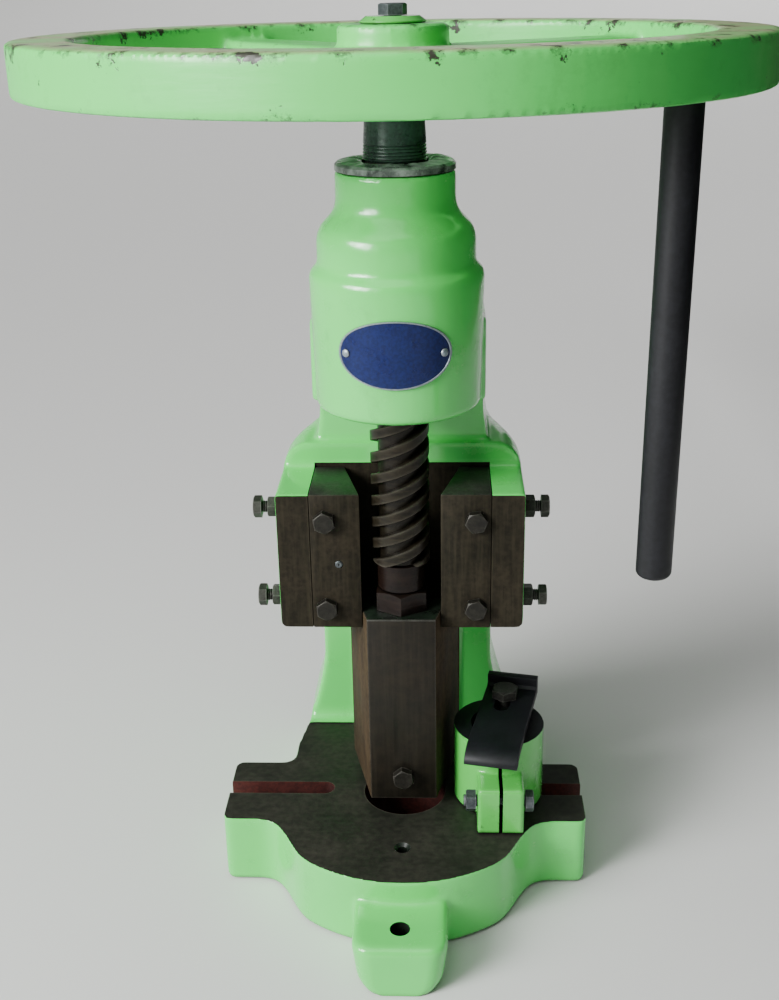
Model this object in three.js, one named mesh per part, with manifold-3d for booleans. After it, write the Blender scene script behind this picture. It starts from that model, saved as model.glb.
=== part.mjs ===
// Fly press: a hand wheel turns a three-start screw that drives a dovetail ram down on a bed.
// Units are millimetres, +Z is up and the front of the press faces -Y.
// The origin lies on the screw's axis, on the surface that the bed stands on.
import * as THREE from 'three';
import { mergeVertices } from 'three/addons/utils/BufferGeometryUtils.js';
import Module from 'manifold-3d';

const wasm = await Module();
wasm.setup();

// Fits and cutting
const seatGap = 0.3;
const threadClearance = 0.7;
const slideClearance = 0.4;
const boltClearance = 0.5;
const cutOverrun = 6;
const mergeTolerance = 0.0001;

// Roundness of turned faces
const fineFacets = 48;
const mediumFacets = 28;
const smallFacets = 10;
const hexSides = 6;
const curveSteps = 5;

// Bed
const bedRadius = 103;
const bedThickness = 52;
const bedEdgeRound = 2.5;
const earLength = 23.5;
const earReach = bedRadius + earLength;
const earFrontY = -36.5;
const earBackY = 34;
const earCornerRound = 6;
const earFilletTurn = 53;
const earFilletPull = 22;
const earFilletRootX = 80;
const earFilletEndX = 102;
const earBackRootX = 83;
const earBackRunY = 58;
const dieHoleRadius = 29;
const slotWidth = 14;
const slotDepth = 22;
const slotInset = 22;
const slotStartX = dieHoleRadius + slotInset;
const slotRearOffset = 2;
const stopHoleRadius = 3.6;
const stopHoleDepth = 18;
const stopHoleInset = 37;
const stopHoleY = stopHoleInset - bedRadius;
const footWidth = 62;
const footLength = 44;
const footReach = bedRadius + footLength;
const footHeight = 36;
const footHoleRadius = 6.5;
const footHoleInset = 20.4;
const footHoleReach = footReach - footHoleInset;
const rearCornerRadius = 24;
const footEdgeRound = 5;
const footCornerRound = 12;
const footRootRound = 8;

// Column, neck and throat
const columnInset = 6;
const columnFrontY = bedRadius - columnInset;
const columnDepth = 68;
const columnRearY = columnFrontY + columnDepth;
const columnHalfWidth = 64;
const columnFootFlare = 13;
const columnFootHalfWidth = columnHalfWidth + columnFootFlare;
const columnFlareHeight = 58;
const flareTurnShare = 0.75;
const columnEdgeRound = 7;
const rearFootLength = 39;
const rearFootReach = columnRearY + rearFootLength;
const rearHoleInset = 18;
const rearHoleReach = rearFootReach - rearHoleInset;
const throatRadius = 34;
const gooseneckRadius = 118;
const neckDrawIn = 9;
const neckHalfWidth = columnHalfWidth - neckDrawIn;
const neckFaceY = 45;
const machinedStripShare = 0.625;
const machinedStripHalfWidth = columnHalfWidth * machinedStripShare;
const machinedStripRise = 1.2;

// Guide head: heights count up from the mouth between head and bed
const mouthHeight = 138;
const headBottomZ = bedThickness + mouthHeight;
const guideHeight = 96;
const guideTopZ = headBottomZ + guideHeight;
const headHalfWidth = 81;
const headFrontY = -12;
const guideDepth = 52;
const guideBackY = headFrontY + guideDepth;
const shoulderRadius = 19;
const shoulderRise = 17;
const shoulderTopZ = guideTopZ + shoulderRise;
const cheekShare = 0.2654;
const cheekThickness = headHalfWidth * cheekShare;
const headTaperInset = 18;
const headTaperStartY = guideBackY + headTaperInset;
const headRearInset = 33;
const headRearY = columnRearY - headRearInset;
const headCornerRound = 5;
const stripBelowHead = 22;
const machinedStripTopZ = headBottomZ - stripBelowHead;
const neckTaperInset = 24;
const neckTaperStartZ = guideTopZ - neckTaperInset;
const neckTaperLength = 68;
const neckTaperEndZ = neckTaperStartZ + neckTaperLength;

// Barrel and nut, standing on the head
const barrelGap = 42;
const barrelBottomZ = shoulderTopZ + barrelGap;
const barrelHeight = 87;
const barrelStepZ = barrelBottomZ + barrelHeight;
const barrelBottomRadius = 51.6;
const barrelFlare = 1.9;
const barrelTopRadius = barrelBottomRadius + barrelFlare;
const barrelStepRound = 3;
const barrelStepInset = 5.2;
const midRadius = barrelTopRadius - barrelStepInset;
const midHeight = 18;
const midTopZ = barrelStepZ + midHeight;
const shoulderFlareHeight = 18;
const shoulderFlareTopZ = midTopZ + shoulderFlareHeight;
const neckRingRadius = 36;
const neckRingHeight = 21;
const barrelTopZ = shoulderFlareTopZ + neckRingHeight;
const neckOverBarrel = 53;
const neckTopZ = barrelBottomZ + neckOverBarrel;
const barrelBoreClearance = 4;
const nutFlangeHeight = 4.5;
const nutBodyRadius = 28;
const nutLength = 85;
const nutBottomZ = barrelTopZ - nutLength;

// Hand wheel, which runs above the barrel
const wheelRadius = 213.5;
const rimWidth = 35;
const rimHeight = 28.5;
const rimAboveBarrel = 48;
const rimBottomZ = barrelTopZ + rimAboveBarrel;
const rimTopZ = rimBottomZ + rimHeight;
const rimCorner = 2.5;
const hubRadius = 32;
const hubProud = 4;
const hubTopZ = rimTopZ + hubProud;
const hubHeight = 47;
const hubBottomZ = hubTopZ - hubHeight;
const armCount = 4;
const armHeight = 17;
const armTopDrop = 9;
const armHubWidth = 46;
const armRimWidth = 34;
const armTurnDegrees = 36;
const washerRadius = 20.5;
const washerHeight = 4;
const topBoltRadius = 5;
const topBoltFlats = 17;
const topBoltHeadHeight = 6.4;
const topBoltLength = 26;
const keyWidth = 6;
const keyHeight = 5;
const keyLength = 30;
const keySink = 2.2;

// Handle, set in the underside of the rim
const handleInset = 21;
const handleTurnDegrees = -41.6;
const handleRadius = 9.8;
const handleLength = 252;
const handleEndRound = 3.5;
const handleSpigotRadius = 7;
const handleSpigotLength = 18;

// Ram, drawn just above the bed
const ramDaylight = 9;
const ramBottomZ = bedThickness + ramDaylight;
const ramLength = 140.5;
const ramTopZ = ramBottomZ + ramLength;
const ramProud = 11;
const ramFrontY = headFrontY - ramProud;
const ramFrontShare = 0.284;
const ramFrontHalfWidth = headHalfWidth * ramFrontShare;
const dovetailSlopeShare = 0.25;
const ramEdgeRound = 1;
const toolBoreRadius = 12.7;
const toolBoreDepth = 46;
const toolScrewRise = 20.5;
const toolScrewZ = ramBottomZ + toolScrewRise;
const toolScrewProud = 3;
const ramSocketRadius = 16;
const thrustPadHeight = 5;
const thrustPadClearance = 2;
const glandFlats = 33;
const glandHeight = 15;
const glandSpigotDepth = 12;

// Screw, hung from the wheel's hub and held in the ram
const screwRadius = 19;
const threadDepth = 5;
const screwRootRadius = screwRadius - threadDepth;
const screwLead = 45;
const threadStarts = 3;
const landShare = 0.48;
const threadStepsPerLead = 16;
const threadAboveRam = 35;
const threadBottomZ = ramTopZ + threadAboveRam;
const threadAboveBarrel = 13;
const threadTopZ = barrelTopZ + threadAboveBarrel;
const taperLowRadius = 18;
const taperDrawIn = 3;
const taperHighRadius = taperLowRadius - taperDrawIn;
const taperBelowHub = 7;
const taperTopZ = hubTopZ - taperBelowHub;
const screwShankRadius = 16;
const screwNeckRadius = 11;
const screwNeckClearance = 0.8;
const screwEndRadius = 14;
const screwEndHeight = 8;
const screwBoreDepth = 30;

// Gibs
const gibEdgeRound = 1.2;
const gibBoltTopInset = 18;
const gibBoltLowInset = 15;
const gibBoltZs = [guideTopZ - gibBoltTopInset, headBottomZ + gibBoltLowInset];
const gibPinInset = 18.7;
const gibPinX = headHalfWidth - cheekThickness - gibPinInset;
const gibPinRise = 46.8;
const gibPinZ = headBottomZ + gibPinRise;
const gibPinRadius = 2.6;
const gibPinLength = 14;
const gibPinProud = 0.8;
const gibBoltBite = 16;
const adjusterInset = 20;
const adjusterY = headFrontY + adjusterInset;
const adjusterTopInset = 16;
const adjusterLowInset = 15;
const adjusterZs = [guideTopZ - adjusterTopInset, headBottomZ + adjusterLowInset];
const adjusterTipGap = 0.3;
const adjusterNutToHead = 4;

// M8 hardware on the guide, ram and collar
const boltRadius = 4;
const boltHeadFlats = 13;
const boltHeadHeight = 5.5;
const boltNutHeight = 6.8;

// Name plate on the barrel
const plateHalfWidth = 33.8;
const plateHalfHeight = 21;
const plateRise = 44.6;
const plateCentreZ = barrelBottomZ + plateRise;
const plateThickness = 1.2;
const plateRivetInset = 5.5;
const plateRivetX = plateHalfWidth - plateRivetInset;
const plateRivetRadius = 1.2;
const plateRivetHeadRadius = 2.5;
const plateRivetHeadHeight = 1.1;
const plateRivetLength = 5;
const rivetCrownRadiusShare = 0.8;
const rivetCrownHeightShare = 0.7;

// Split stop collar standing on the bed
const collarRadius = 31.4;
const collarFromRam = 12.1;
const collarX = ramFrontHalfWidth + collarRadius + collarFromRam;
const collarWall = 12;
const collarBoreRadius = collarRadius - collarWall;
const collarHeight = 57;
const collarRound = 2;
const lugReach = 20;
const lugWidth = 33;
const lugSlit = 2.6;
const lugDrop = 22;
const lugHeight = collarHeight - lugDrop;
const lugBoltHeight = 21.5;
const lugBoltReach = 11;
const dogTurnDegrees = -12;
const dogWidth = 36;
const dogThickness = 6;
const dogLegLength = 9.8;
const dogBendRadius = 9;
const dogOffsetX = 3;
const dogSlotRun = 15;
const dogOverhang = 13.7;
const dogRearY = collarRadius + dogOverhang;
const dogRearHeight = 8;
const dogBoltRadius = 5;
const dogBoltFlats = 17;
const dogBoltHeadHeight = 6.4;
const dogBoltLength = 30;
const dogBoltInset = 6;
const dogBoltY = collarRadius - dogBoltInset;

// Finishes
function finish(color, roughness, metalness) {
  return new THREE.MeshStandardMaterial({ color, roughness, metalness });
}
const greenEnamel = () => finish(0x8fce88, 0.3, 0.0);
const oiledIron = () => finish(0x4a443b, 0.5, 0.8);
const screwSteel = () => finish(0x56504a, 0.4, 0.9);
const blackSteel = () => finish(0x2b2c2f, 0.45, 0.6);
const zincSteel = () => finish(0x8d9096, 0.35, 0.9);
const plateBlue = () => finish(0x23387e, 0.35, 0.2);

// Solids from geometry, and back again
function toSolid(geometry) {
  const bare = geometry.index ? geometry.toNonIndexed() : geometry.clone();
  bare.deleteAttribute('normal');
  bare.deleteAttribute('uv');
  const merged = mergeVertices(bare, mergeTolerance);
  return new wasm.Manifold(new wasm.Mesh({
    numProp: 3,
    vertProperties: new Float32Array(merged.attributes.position.array),
    triVerts: new Uint32Array(merged.index.array),
  }));
}

function toGeometry(solid) {
  const mesh = solid.getMesh();
  const geometry = new THREE.BufferGeometry();
  geometry.setAttribute('position', new THREE.BufferAttribute(new Float32Array(mesh.vertProperties), 3));
  geometry.setIndex(new THREE.BufferAttribute(new Uint32Array(mesh.triVerts), 1));
  return geometry;
}

function joined(...solids) {
  return solids.reduce((sum, solid) => sum.add(solid));
}

// Rectangular block between two corners
function block(low, high) {
  const size = high.map((value, axis) => value - low[axis]);
  const geometry = new THREE.BoxGeometry(...size);
  geometry.translate(...low.map((value, axis) => value + size[axis] / 2));
  return toSolid(geometry);
}

// Turned form about the Z axis: profile points are [radius, height]
function turned(profile, facets = mediumFacets) {
  const points = profile.map(([radius, height]) => new THREE.Vector2(radius, height));
  const geometry = new THREE.LatheGeometry(points, facets);
  geometry.rotateX(Math.PI / 2);
  return toSolid(geometry);
}

function shaft(radius, bottomZ, topZ, facets = smallFacets) {
  return turned([[0, bottomZ], [radius, bottomZ], [radius, topZ], [0, topZ]], facets);
}

// Shaft that lies along Y or X, from one end to the other
function shaftAlongY(radius, startY, endY, x, z, facets = smallFacets) {
  return shaft(radius, 0, endY - startY, facets).rotate([-90, 0, 0]).translate([x, startY, z]);
}

function shaftAlongX(radius, startX, endX, y, z, facets = smallFacets) {
  return shaft(radius, 0, endX - startX, facets).rotate([0, 90, 0]).translate([startX, y, z]);
}

// Hexagon of a bolt head or nut, standing on the plane Z = 0, its corners chamfered on top
function hexagon(flats, height) {
  const cornerRadius = flats / Math.sqrt(3);
  const chamfer = cornerRadius - flats / 2;
  const prism = turned([[0, 0], [cornerRadius, 0], [cornerRadius, height], [0, height]], hexSides);
  const cone = turned([
    [0, 0], [cornerRadius + chamfer, 0], [cornerRadius + chamfer, height - chamfer],
    [flats / 2, height], [0, height],
  ], smallFacets);
  return prism.intersect(cone);
}

// Outline in the XY plane, extruded upwards
function extrudedUp(outline, bottomZ, topZ, round = 0, roundSteps = 1) {
  const depth = topZ - bottomZ - 2 * round;
  const geometry = new THREE.ExtrudeGeometry(outline, {
    depth, steps: 1, curveSegments: curveSteps, bevelEnabled: round > 0,
    bevelThickness: round, bevelSize: round, bevelOffset: -round, bevelSegments: roundSteps,
  });
  geometry.translate(0, 0, bottomZ + round);
  return toSolid(geometry);
}

// Outline of X and Z, extruded backwards from one Y to another
function extrudedBack(outline, startY, endY, round = 0, roundSteps = 1) {
  return extrudedUp(outline, -endY, -startY, round, roundSteps).rotate([90, 0, 0]);
}

// Outline of Y and Z, extruded sideways and centred on X = 0
function extrudedAcross(outline, halfWidth, round = 0) {
  return extrudedUp(outline, -halfWidth, halfWidth, round).rotate([90, 0, 0]).rotate([0, 0, 90]);
}

function outlineOf(points) {
  return new THREE.Shape(points.map(([u, v]) => new THREE.Vector2(u, v)));
}

function named(name, solid, material) {
  const mesh = new THREE.Mesh(toGeometry(solid), material);
  mesh.name = name;
  return mesh;
}

// Half width of the ram's dovetail at a depth Y
function ramHalfWidthAt(y) {
  return ramFrontHalfWidth + (y - ramFrontY) * dovetailSlopeShare;
}

function polar(radius, angle) {
  return new THREE.Vector2(radius * Math.cos(angle), radius * Math.sin(angle));
}

// A shape that mirrors a right-hand path to the left
function mirrored(path) {
  const shape = new THREE.Shape();
  const side = path.getPoints(curveSteps);
  side.forEach((point, index) => (index ? shape.lineTo(point.x, point.y) : shape.moveTo(point.x, point.y)));
  side.reverse().forEach((point) => shape.lineTo(-point.x, point.y));
  return shape;
}

// The bed in plan: round table in front, an ear with soft corners, and the run back to the column's foot
function bedOutline() {
  const turn = -THREE.MathUtils.degToRad(earFilletTurn);
  const start = polar(bedRadius, turn);
  const run = new THREE.Vector2(-Math.sin(turn), Math.cos(turn)).multiplyScalar(earFilletPull);
  const right = new THREE.Path();
  right.absarc(0, 0, bedRadius, -Math.PI / 2, turn, false);
  right.bezierCurveTo(start.x + run.x, start.y + run.y, earFilletRootX, earFrontY, earFilletEndX, earFrontY);
  right.lineTo(earReach - earCornerRound, earFrontY);
  right.quadraticCurveTo(earReach, earFrontY, earReach, earFrontY + earCornerRound);
  right.lineTo(earReach, earBackY - earCornerRound);
  right.quadraticCurveTo(earReach, earBackY, earReach - earCornerRound, earBackY);
  right.lineTo(earFilletEndX, earBackY);
  right.bezierCurveTo(earBackRootX, earBackY, earBackRootX, earBackY, earBackRootX, earBackRunY);
  right.lineTo(columnFootHalfWidth, columnFrontY);
  right.lineTo(columnFootHalfWidth, columnRearY - rearCornerRadius);
  right.absarc(
    columnFootHalfWidth - rearCornerRadius, columnRearY - rearCornerRadius, rearCornerRadius,
    0, Math.PI / 2, false,
  );
  return mirrored(right);
}

// A foot in plan: it runs out of the bed in soft corners and ends in rounded ones
function footOutline(rootY, reachY) {
  const outward = Math.sign(reachY);
  const half = footWidth / 2;
  const right = new THREE.Path();
  right.moveTo(half + footRootRound, 0);
  right.lineTo(half + footRootRound, rootY);
  right.quadraticCurveTo(half, rootY, half, rootY + outward * footRootRound);
  right.lineTo(half, reachY - outward * footCornerRound);
  right.quadraticCurveTo(half, reachY, half - footCornerRound, reachY);
  return mirrored(right);
}

function makeBed() {
  const frontRootY = -Math.sqrt(bedRadius ** 2 - (footWidth / 2 + footRootRound) ** 2);
  return joined(
    extrudedUp(bedOutline(), 0, bedThickness, bedEdgeRound),
    extrudedUp(footOutline(frontRootY, -footReach), 0, footHeight, footEdgeRound),
    extrudedUp(footOutline(columnRearY - bedEdgeRound, rearFootReach), 0, footHeight, footEdgeRound),
  );
}

function bedCuts() {
  const through = [-cutOverrun, bedThickness + cutOverrun];
  const dieHole = shaft(dieHoleRadius, ...through, mediumFacets);
  const frontHole = shaft(footHoleRadius, ...through).translate([0, -footHoleReach, 0]);
  const rearHole = shaft(footHoleRadius, ...through).translate([0, rearHoleReach, 0]);
  const stopHole = shaft(stopHoleRadius, bedThickness - stopHoleDepth, bedThickness + cutOverrun)
    .translate([0, stopHoleY, 0]);
  const slotFloor = bedThickness - slotDepth;
  const slots = [-1, 1].map((side) => {
    const inner = side * slotStartX;
    const outer = side * (earReach + cutOverrun);
    return block(
      [Math.min(inner, outer), slotRearOffset - slotWidth / 2, slotFloor],
      [Math.max(inner, outer), slotRearOffset + slotWidth / 2, bedThickness + cutOverrun],
    );
  });
  return joined(dieHole, frontHole, rearHole, stopHole, ...slots);
}

// Side view of the column and gooseneck, as Y and Z
function columnSideOutline() {
  const shape = new THREE.Shape();
  const sink = bedThickness / 2;
  const neckBack = columnRearY - gooseneckRadius;
  shape.moveTo(columnFrontY, sink);
  shape.lineTo(columnRearY, sink);
  shape.lineTo(columnRearY, neckTopZ - gooseneckRadius);
  shape.absarc(neckBack, neckTopZ - gooseneckRadius, gooseneckRadius, 0, Math.PI / 2, false);
  shape.lineTo(0, neckTopZ);
  shape.lineTo(0, barrelBottomZ);
  shape.lineTo(neckFaceY, barrelBottomZ);
  shape.lineTo(neckFaceY, shoulderTopZ);
  shape.lineTo(guideBackY, shoulderTopZ);
  shape.lineTo(guideBackY, headBottomZ);
  shape.lineTo(columnFrontY - throatRadius, headBottomZ);
  shape.absarc(columnFrontY - throatRadius, headBottomZ - throatRadius, throatRadius, Math.PI / 2, 0, true);
  return shape;
}

// Front view of the column as X and Z: flared at the foot, drawn in at the neck
function columnFrontOutline() {
  const flareTop = bedThickness + columnFlareHeight;
  const right = new THREE.Path();
  right.moveTo(columnFootHalfWidth, 0);
  right.lineTo(columnFootHalfWidth, bedThickness);
  const flareTurn = bedThickness + columnFlareHeight * flareTurnShare;
  right.quadraticCurveTo(columnHalfWidth, flareTurn, columnHalfWidth, flareTop);
  right.lineTo(columnHalfWidth, neckTaperStartZ);
  const taperMid = (neckTaperStartZ + neckTaperEndZ) / 2;
  right.bezierCurveTo(columnHalfWidth, taperMid, neckHalfWidth, taperMid, neckHalfWidth, neckTaperEndZ);
  right.lineTo(neckHalfWidth, neckTopZ + cutOverrun);
  return mirrored(right);
}

function makeColumn() {
  const sideForm = extrudedAcross(columnSideOutline(), columnFootHalfWidth + cutOverrun);
  const frontForm = extrudedBack(columnFrontOutline(), -cutOverrun, columnRearY, columnEdgeRound, 2);
  const frontEdges = extrudedBack(columnFrontOutline(), columnFrontY, columnRearY, columnEdgeRound, 2);
  const headZone = block(
    [-columnFootHalfWidth, -bedRadius, headBottomZ - throatRadius],
    [columnFootHalfWidth, columnRearY + cutOverrun, neckTopZ + cutOverrun],
  );
  const lower = sideForm.intersect(frontEdges);
  const upper = sideForm.intersect(frontForm).intersect(headZone);
  const strip = block(
    [-machinedStripHalfWidth, columnFrontY - machinedStripRise, bedThickness / 2],
    [machinedStripHalfWidth, columnFrontY + columnEdgeRound, machinedStripTopZ],
  );
  return joined(lower, upper, strip);
}

// Shoulders behind the guide as X and Z, rounded where they come up over the cheeks
function shoulderOutline() {
  const turnX = headHalfWidth - shoulderRadius;
  const turnZ = shoulderTopZ - shoulderRadius;
  const right = new THREE.Path();
  right.moveTo(headHalfWidth, headBottomZ);
  right.lineTo(headHalfWidth, turnZ);
  right.absarc(turnX, turnZ, shoulderRadius, 0, Math.PI / 2, false);
  return mirrored(right);
}

// Head seen from above: full width at the guide, drawn in to the column behind it
function headPlanOutline() {
  const shape = new THREE.Shape();
  const blendY = (headTaperStartY + headRearY) / 2;
  shape.moveTo(headHalfWidth, headFrontY);
  shape.lineTo(headHalfWidth, headTaperStartY);
  shape.bezierCurveTo(headHalfWidth, blendY, columnHalfWidth, blendY, columnHalfWidth, headRearY);
  shape.lineTo(-columnHalfWidth, headRearY);
  shape.bezierCurveTo(-columnHalfWidth, blendY, -headHalfWidth, blendY, -headHalfWidth, headTaperStartY);
  shape.lineTo(-headHalfWidth, headFrontY);
  return shape;
}

// Square cheeks as high as the gibs, with the shoulders standing behind them
function makeHead() {
  const shoulders = extrudedBack(shoulderOutline(), guideBackY, headRearY, headCornerRound, 2);
  const cheeks = block(
    [-headHalfWidth, headFrontY, headBottomZ], [headHalfWidth, headRearY, guideTopZ],
  );
  return joined(shoulders, cheeks).intersect(extrudedUp(headPlanOutline(), headBottomZ, shoulderTopZ));
}

// Pocket for the gibs and the ram, open at the front, at the bottom and above
function headCuts() {
  const pocketHalfWidth = headHalfWidth - cheekThickness;
  const pocket = block(
    [-pocketHalfWidth, headFrontY - cutOverrun, headBottomZ - cutOverrun],
    [pocketHalfWidth, guideBackY, guideTopZ + cutOverrun],
  );
  const gibBoltHoles = [-1, 1].flatMap((side) => gibBoltZs.map((z) => shaftAlongY(
    boltRadius + boltClearance, guideBackY - cutOverrun, guideBackY + gibBoltBite + boltClearance,
    side * gibBoltX(), z,
  )));
  const adjusterHoles = adjusterZs.map((z) => joined(...[-1, 1].map((side) => {
    const inner = side * (pocketHalfWidth - cutOverrun);
    const outer = side * (headHalfWidth + cutOverrun);
    return shaftAlongX(boltRadius + seatGap, Math.min(inner, outer), Math.max(inner, outer), adjusterY, z);
  })));
  return joined(pocket, ...gibBoltHoles, ...adjusterHoles);
}

// Barrel that holds the nut: a tapered body, a smaller ring and a flared shoulder to the top
function barrelRadiusAt(z) {
  const share = (z - barrelBottomZ) / (barrelStepZ - barrelBottomZ);
  return barrelBottomRadius + (barrelTopRadius - barrelBottomRadius) * share;
}

function makeBarrel() {
  const profile = [
    [0, barrelBottomZ], [barrelBottomRadius - barrelStepRound, barrelBottomZ],
    [barrelBottomRadius, barrelBottomZ + barrelStepRound],
    [barrelTopRadius, barrelStepZ - barrelStepRound],
    [barrelTopRadius - barrelStepRound / 3, barrelStepZ - barrelStepRound / 3],
    [barrelTopRadius - barrelStepRound, barrelStepZ], [midRadius, barrelStepZ + barrelStepRound / 2],
    [midRadius, midTopZ - barrelStepRound],
  ];
  const flareSteps = 5;
  for (let step = 0; step <= flareSteps; step += 1) {
    const angle = (Math.PI / 2) * (step / flareSteps);
    profile.push([
      neckRingRadius + (midRadius - neckRingRadius) * Math.cos(angle),
      midTopZ + shoulderFlareHeight * Math.sin(angle),
    ]);
  }
  profile.push([neckRingRadius, barrelTopZ], [0, barrelTopZ]);
  return turned(profile, fineFacets);
}

function barrelCuts() {
  const topZ = barrelTopZ + cutOverrun;
  return joined(
    shaft(screwRadius + barrelBoreClearance, barrelBottomZ - cutOverrun, topZ, mediumFacets),
    shaft(nutBodyRadius + seatGap, nutBottomZ - seatGap, topZ, mediumFacets),
    ...[-1, 1].map(plateRivetHole),
  );
}

// Places a form made at the barrel's front where the rivet sits, square to the curved wall
function atRivet(side, solid) {
  const angle = Math.asin(plateRivetX / barrelRadiusAt(plateCentreZ)) * THREE.MathUtils.RAD2DEG;
  return solid.rotate([0, 0, side * angle]);
}

function plateRivetHole(side) {
  const surfaceY = -barrelRadiusAt(plateCentreZ);
  return atRivet(side, shaftAlongY(
    plateRivetRadius + seatGap, surfaceY - cutOverrun, surfaceY + plateRivetLength + seatGap,
    0, plateCentreZ,
  ));
}

function makeFrame() {
  return joined(makeBed(), makeColumn(), makeHead(), makeBarrel())
    .subtract(bedCuts())
    .subtract(headCuts())
    .subtract(barrelCuts());
}

// Thread section: one land and one groove for each start, grown by a clearance
function threadSection(growth) {
  const points = [];
  const startAngle = (2 * Math.PI) / threadStarts;
  const pitch = screwLead / threadStarts;
  const landAngle = startAngle * (landShare + (2 * growth) / pitch);
  for (let start = 0; start < threadStarts; start += 1) {
    const middle = start * startAngle;
    for (let step = 0; step <= 3; step += 1) {
      const angle = middle + landAngle * (step / 3 - 0.5);
      points.push(polar(screwRadius + growth, angle));
    }
    for (let step = 0; step <= 2; step += 1) {
      const angle = middle + landAngle / 2 + (startAngle - landAngle) * (step / 2);
      points.push(polar(screwRootRadius + growth, angle));
    }
  }
  return new THREE.Shape(points);
}

// Right-hand thread: the section turns once in each lead of height
function threadedBody(bottomZ, topZ, growth = 0) {
  const steps = Math.round(((topZ - bottomZ) / screwLead) * threadStepsPerLead);
  const geometry = new THREE.ExtrudeGeometry(threadSection(growth), {
    depth: topZ - bottomZ, steps, bevelEnabled: false,
  });
  geometry.translate(0, 0, bottomZ);
  const position = geometry.attributes.position;
  const point = new THREE.Vector3();
  for (let index = 0; index < position.count; index += 1) {
    point.fromBufferAttribute(position, index);
    point.applyAxisAngle(new THREE.Vector3(0, 0, 1), (2 * Math.PI * point.z) / screwLead);
    position.setXYZ(index, point.x, point.y, point.z);
  }
  return toSolid(geometry);
}

// Nut: flanged bush in the top of the barrel, threaded right through
function makeNut() {
  const flangeTop = barrelTopZ + seatGap + nutFlangeHeight;
  const chamfer = nutFlangeHeight / 4;
  const bush = turned([
    [0, nutBottomZ], [nutBodyRadius, nutBottomZ], [nutBodyRadius, barrelTopZ + seatGap],
    [neckRingRadius, barrelTopZ + seatGap], [neckRingRadius, flangeTop - chamfer],
    [neckRingRadius - chamfer, flangeTop], [0, flangeTop],
  ], mediumFacets);
  return bush.subtract(threadedBody(threadPhaseZ(nutBottomZ), flangeTop + cutOverrun, threadClearance));
}

// Lowest height under a face at which the thread section stands as it does at the screw's own end
function threadPhaseZ(z) {
  const step = screwLead / threadStepsPerLead;
  return threadBottomZ + step * Math.floor((z - cutOverrun - threadBottomZ) / step);
}

// Heights of what the ram's socket holds, from the gland's spigot down
const glandSpigotBottomZ = ramTopZ - glandSpigotDepth;
const endNutTopZ = glandSpigotBottomZ - seatGap;
const endNutBottomZ = endNutTopZ - screwEndHeight;
const thrustPadTopZ = endNutBottomZ - seatGap;
const socketFloorZ = thrustPadTopZ - thrustPadHeight - seatGap;

// Screw: taper for the wheel, thread, smooth shank and the thin neck that the end nut holds
function makeScrew() {
  const shankBottom = ramTopZ + glandHeight + seatGap;
  const lowerEnd = turned([
    [0, endNutBottomZ], [screwNeckRadius, endNutBottomZ], [screwNeckRadius, shankBottom],
    [screwShankRadius, shankBottom], [screwShankRadius, threadBottomZ],
    [screwNeckRadius, threadBottomZ + screwShankRadius - screwNeckRadius],
    [0, threadBottomZ + screwShankRadius - screwNeckRadius],
  ], mediumFacets);
  const taper = turned([
    [0, threadTopZ - screwNeckRadius], [screwNeckRadius, threadTopZ - screwNeckRadius],
    [screwNeckRadius, threadTopZ], [taperLowRadius, threadTopZ],
    [taperHighRadius, taperTopZ], [0, taperTopZ],
  ], mediumFacets);
  const drill = shaft(topBoltRadius + seatGap, taperTopZ - screwBoreDepth, taperTopZ + cutOverrun);
  return joined(lowerEnd, threadedBody(threadBottomZ, threadTopZ), taper)
    .subtract(drill)
    .subtract(keySpace(seatGap));
}

// Key between taper and hub, grown by a clearance to cut its seat
function keySpace(growth) {
  const topZ = taperTopZ + growth;
  const lowZ = taperTopZ - keyLength - growth;
  const innerY = taperRadiusAt(taperTopZ - keyLength / 2) - keySink;
  return block(
    [-keyWidth / 2 - growth, innerY - growth, lowZ],
    [keyWidth / 2 + growth, innerY + keyHeight + growth, topZ],
  );
}

function taperRadiusAt(z) {
  const share = (z - threadTopZ) / (taperTopZ - threadTopZ);
  return taperLowRadius + (taperHighRadius - taperLowRadius) * share;
}

// Round nut on the screw's neck, below the gland
function makeEndNut() {
  const bore = shaft(
    screwNeckRadius + seatGap, endNutBottomZ - cutOverrun, endNutTopZ + cutOverrun, mediumFacets,
  );
  return shaft(screwEndRadius, endNutBottomZ, endNutTopZ, mediumFacets).subtract(bore);
}

// Ram: dovetail bar with a tool bore below and a socket for the screw's end above
function makeRam() {
  const backY = guideBackY - slideClearance;
  const frontHalf = ramFrontHalfWidth;
  const backHalf = ramHalfWidthAt(backY);
  const bar = extrudedUp(outlineOf([
    [-frontHalf, ramFrontY], [frontHalf, ramFrontY], [backHalf, backY], [-backHalf, backY],
  ]), ramBottomZ, ramTopZ, ramEdgeRound);
  const toolBore = shaft(toolBoreRadius, ramBottomZ - cutOverrun, ramBottomZ + toolBoreDepth, mediumFacets);
  const socket = shaft(ramSocketRadius, socketFloorZ, ramTopZ + cutOverrun, mediumFacets);
  const screwHole = shaftAlongY(boltRadius + seatGap, ramFrontY - cutOverrun, 0, 0, toolScrewZ);
  return bar.subtract(joined(toolBore, screwHole)).subtract(socket);
}

function makeGland() {
  const spigotTopZ = ramTopZ + glandHeight / 2;
  const spigot = shaft(ramSocketRadius - seatGap, glandSpigotBottomZ, spigotTopZ, mediumFacets);
  const head = hexagon(glandFlats, glandHeight - seatGap).translate([0, 0, ramTopZ + seatGap]);
  const bore = shaft(
    screwNeckRadius + screwNeckClearance, glandSpigotBottomZ - cutOverrun,
    ramTopZ + glandHeight + cutOverrun, mediumFacets,
  );
  return joined(spigot, head).subtract(bore);
}

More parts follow.
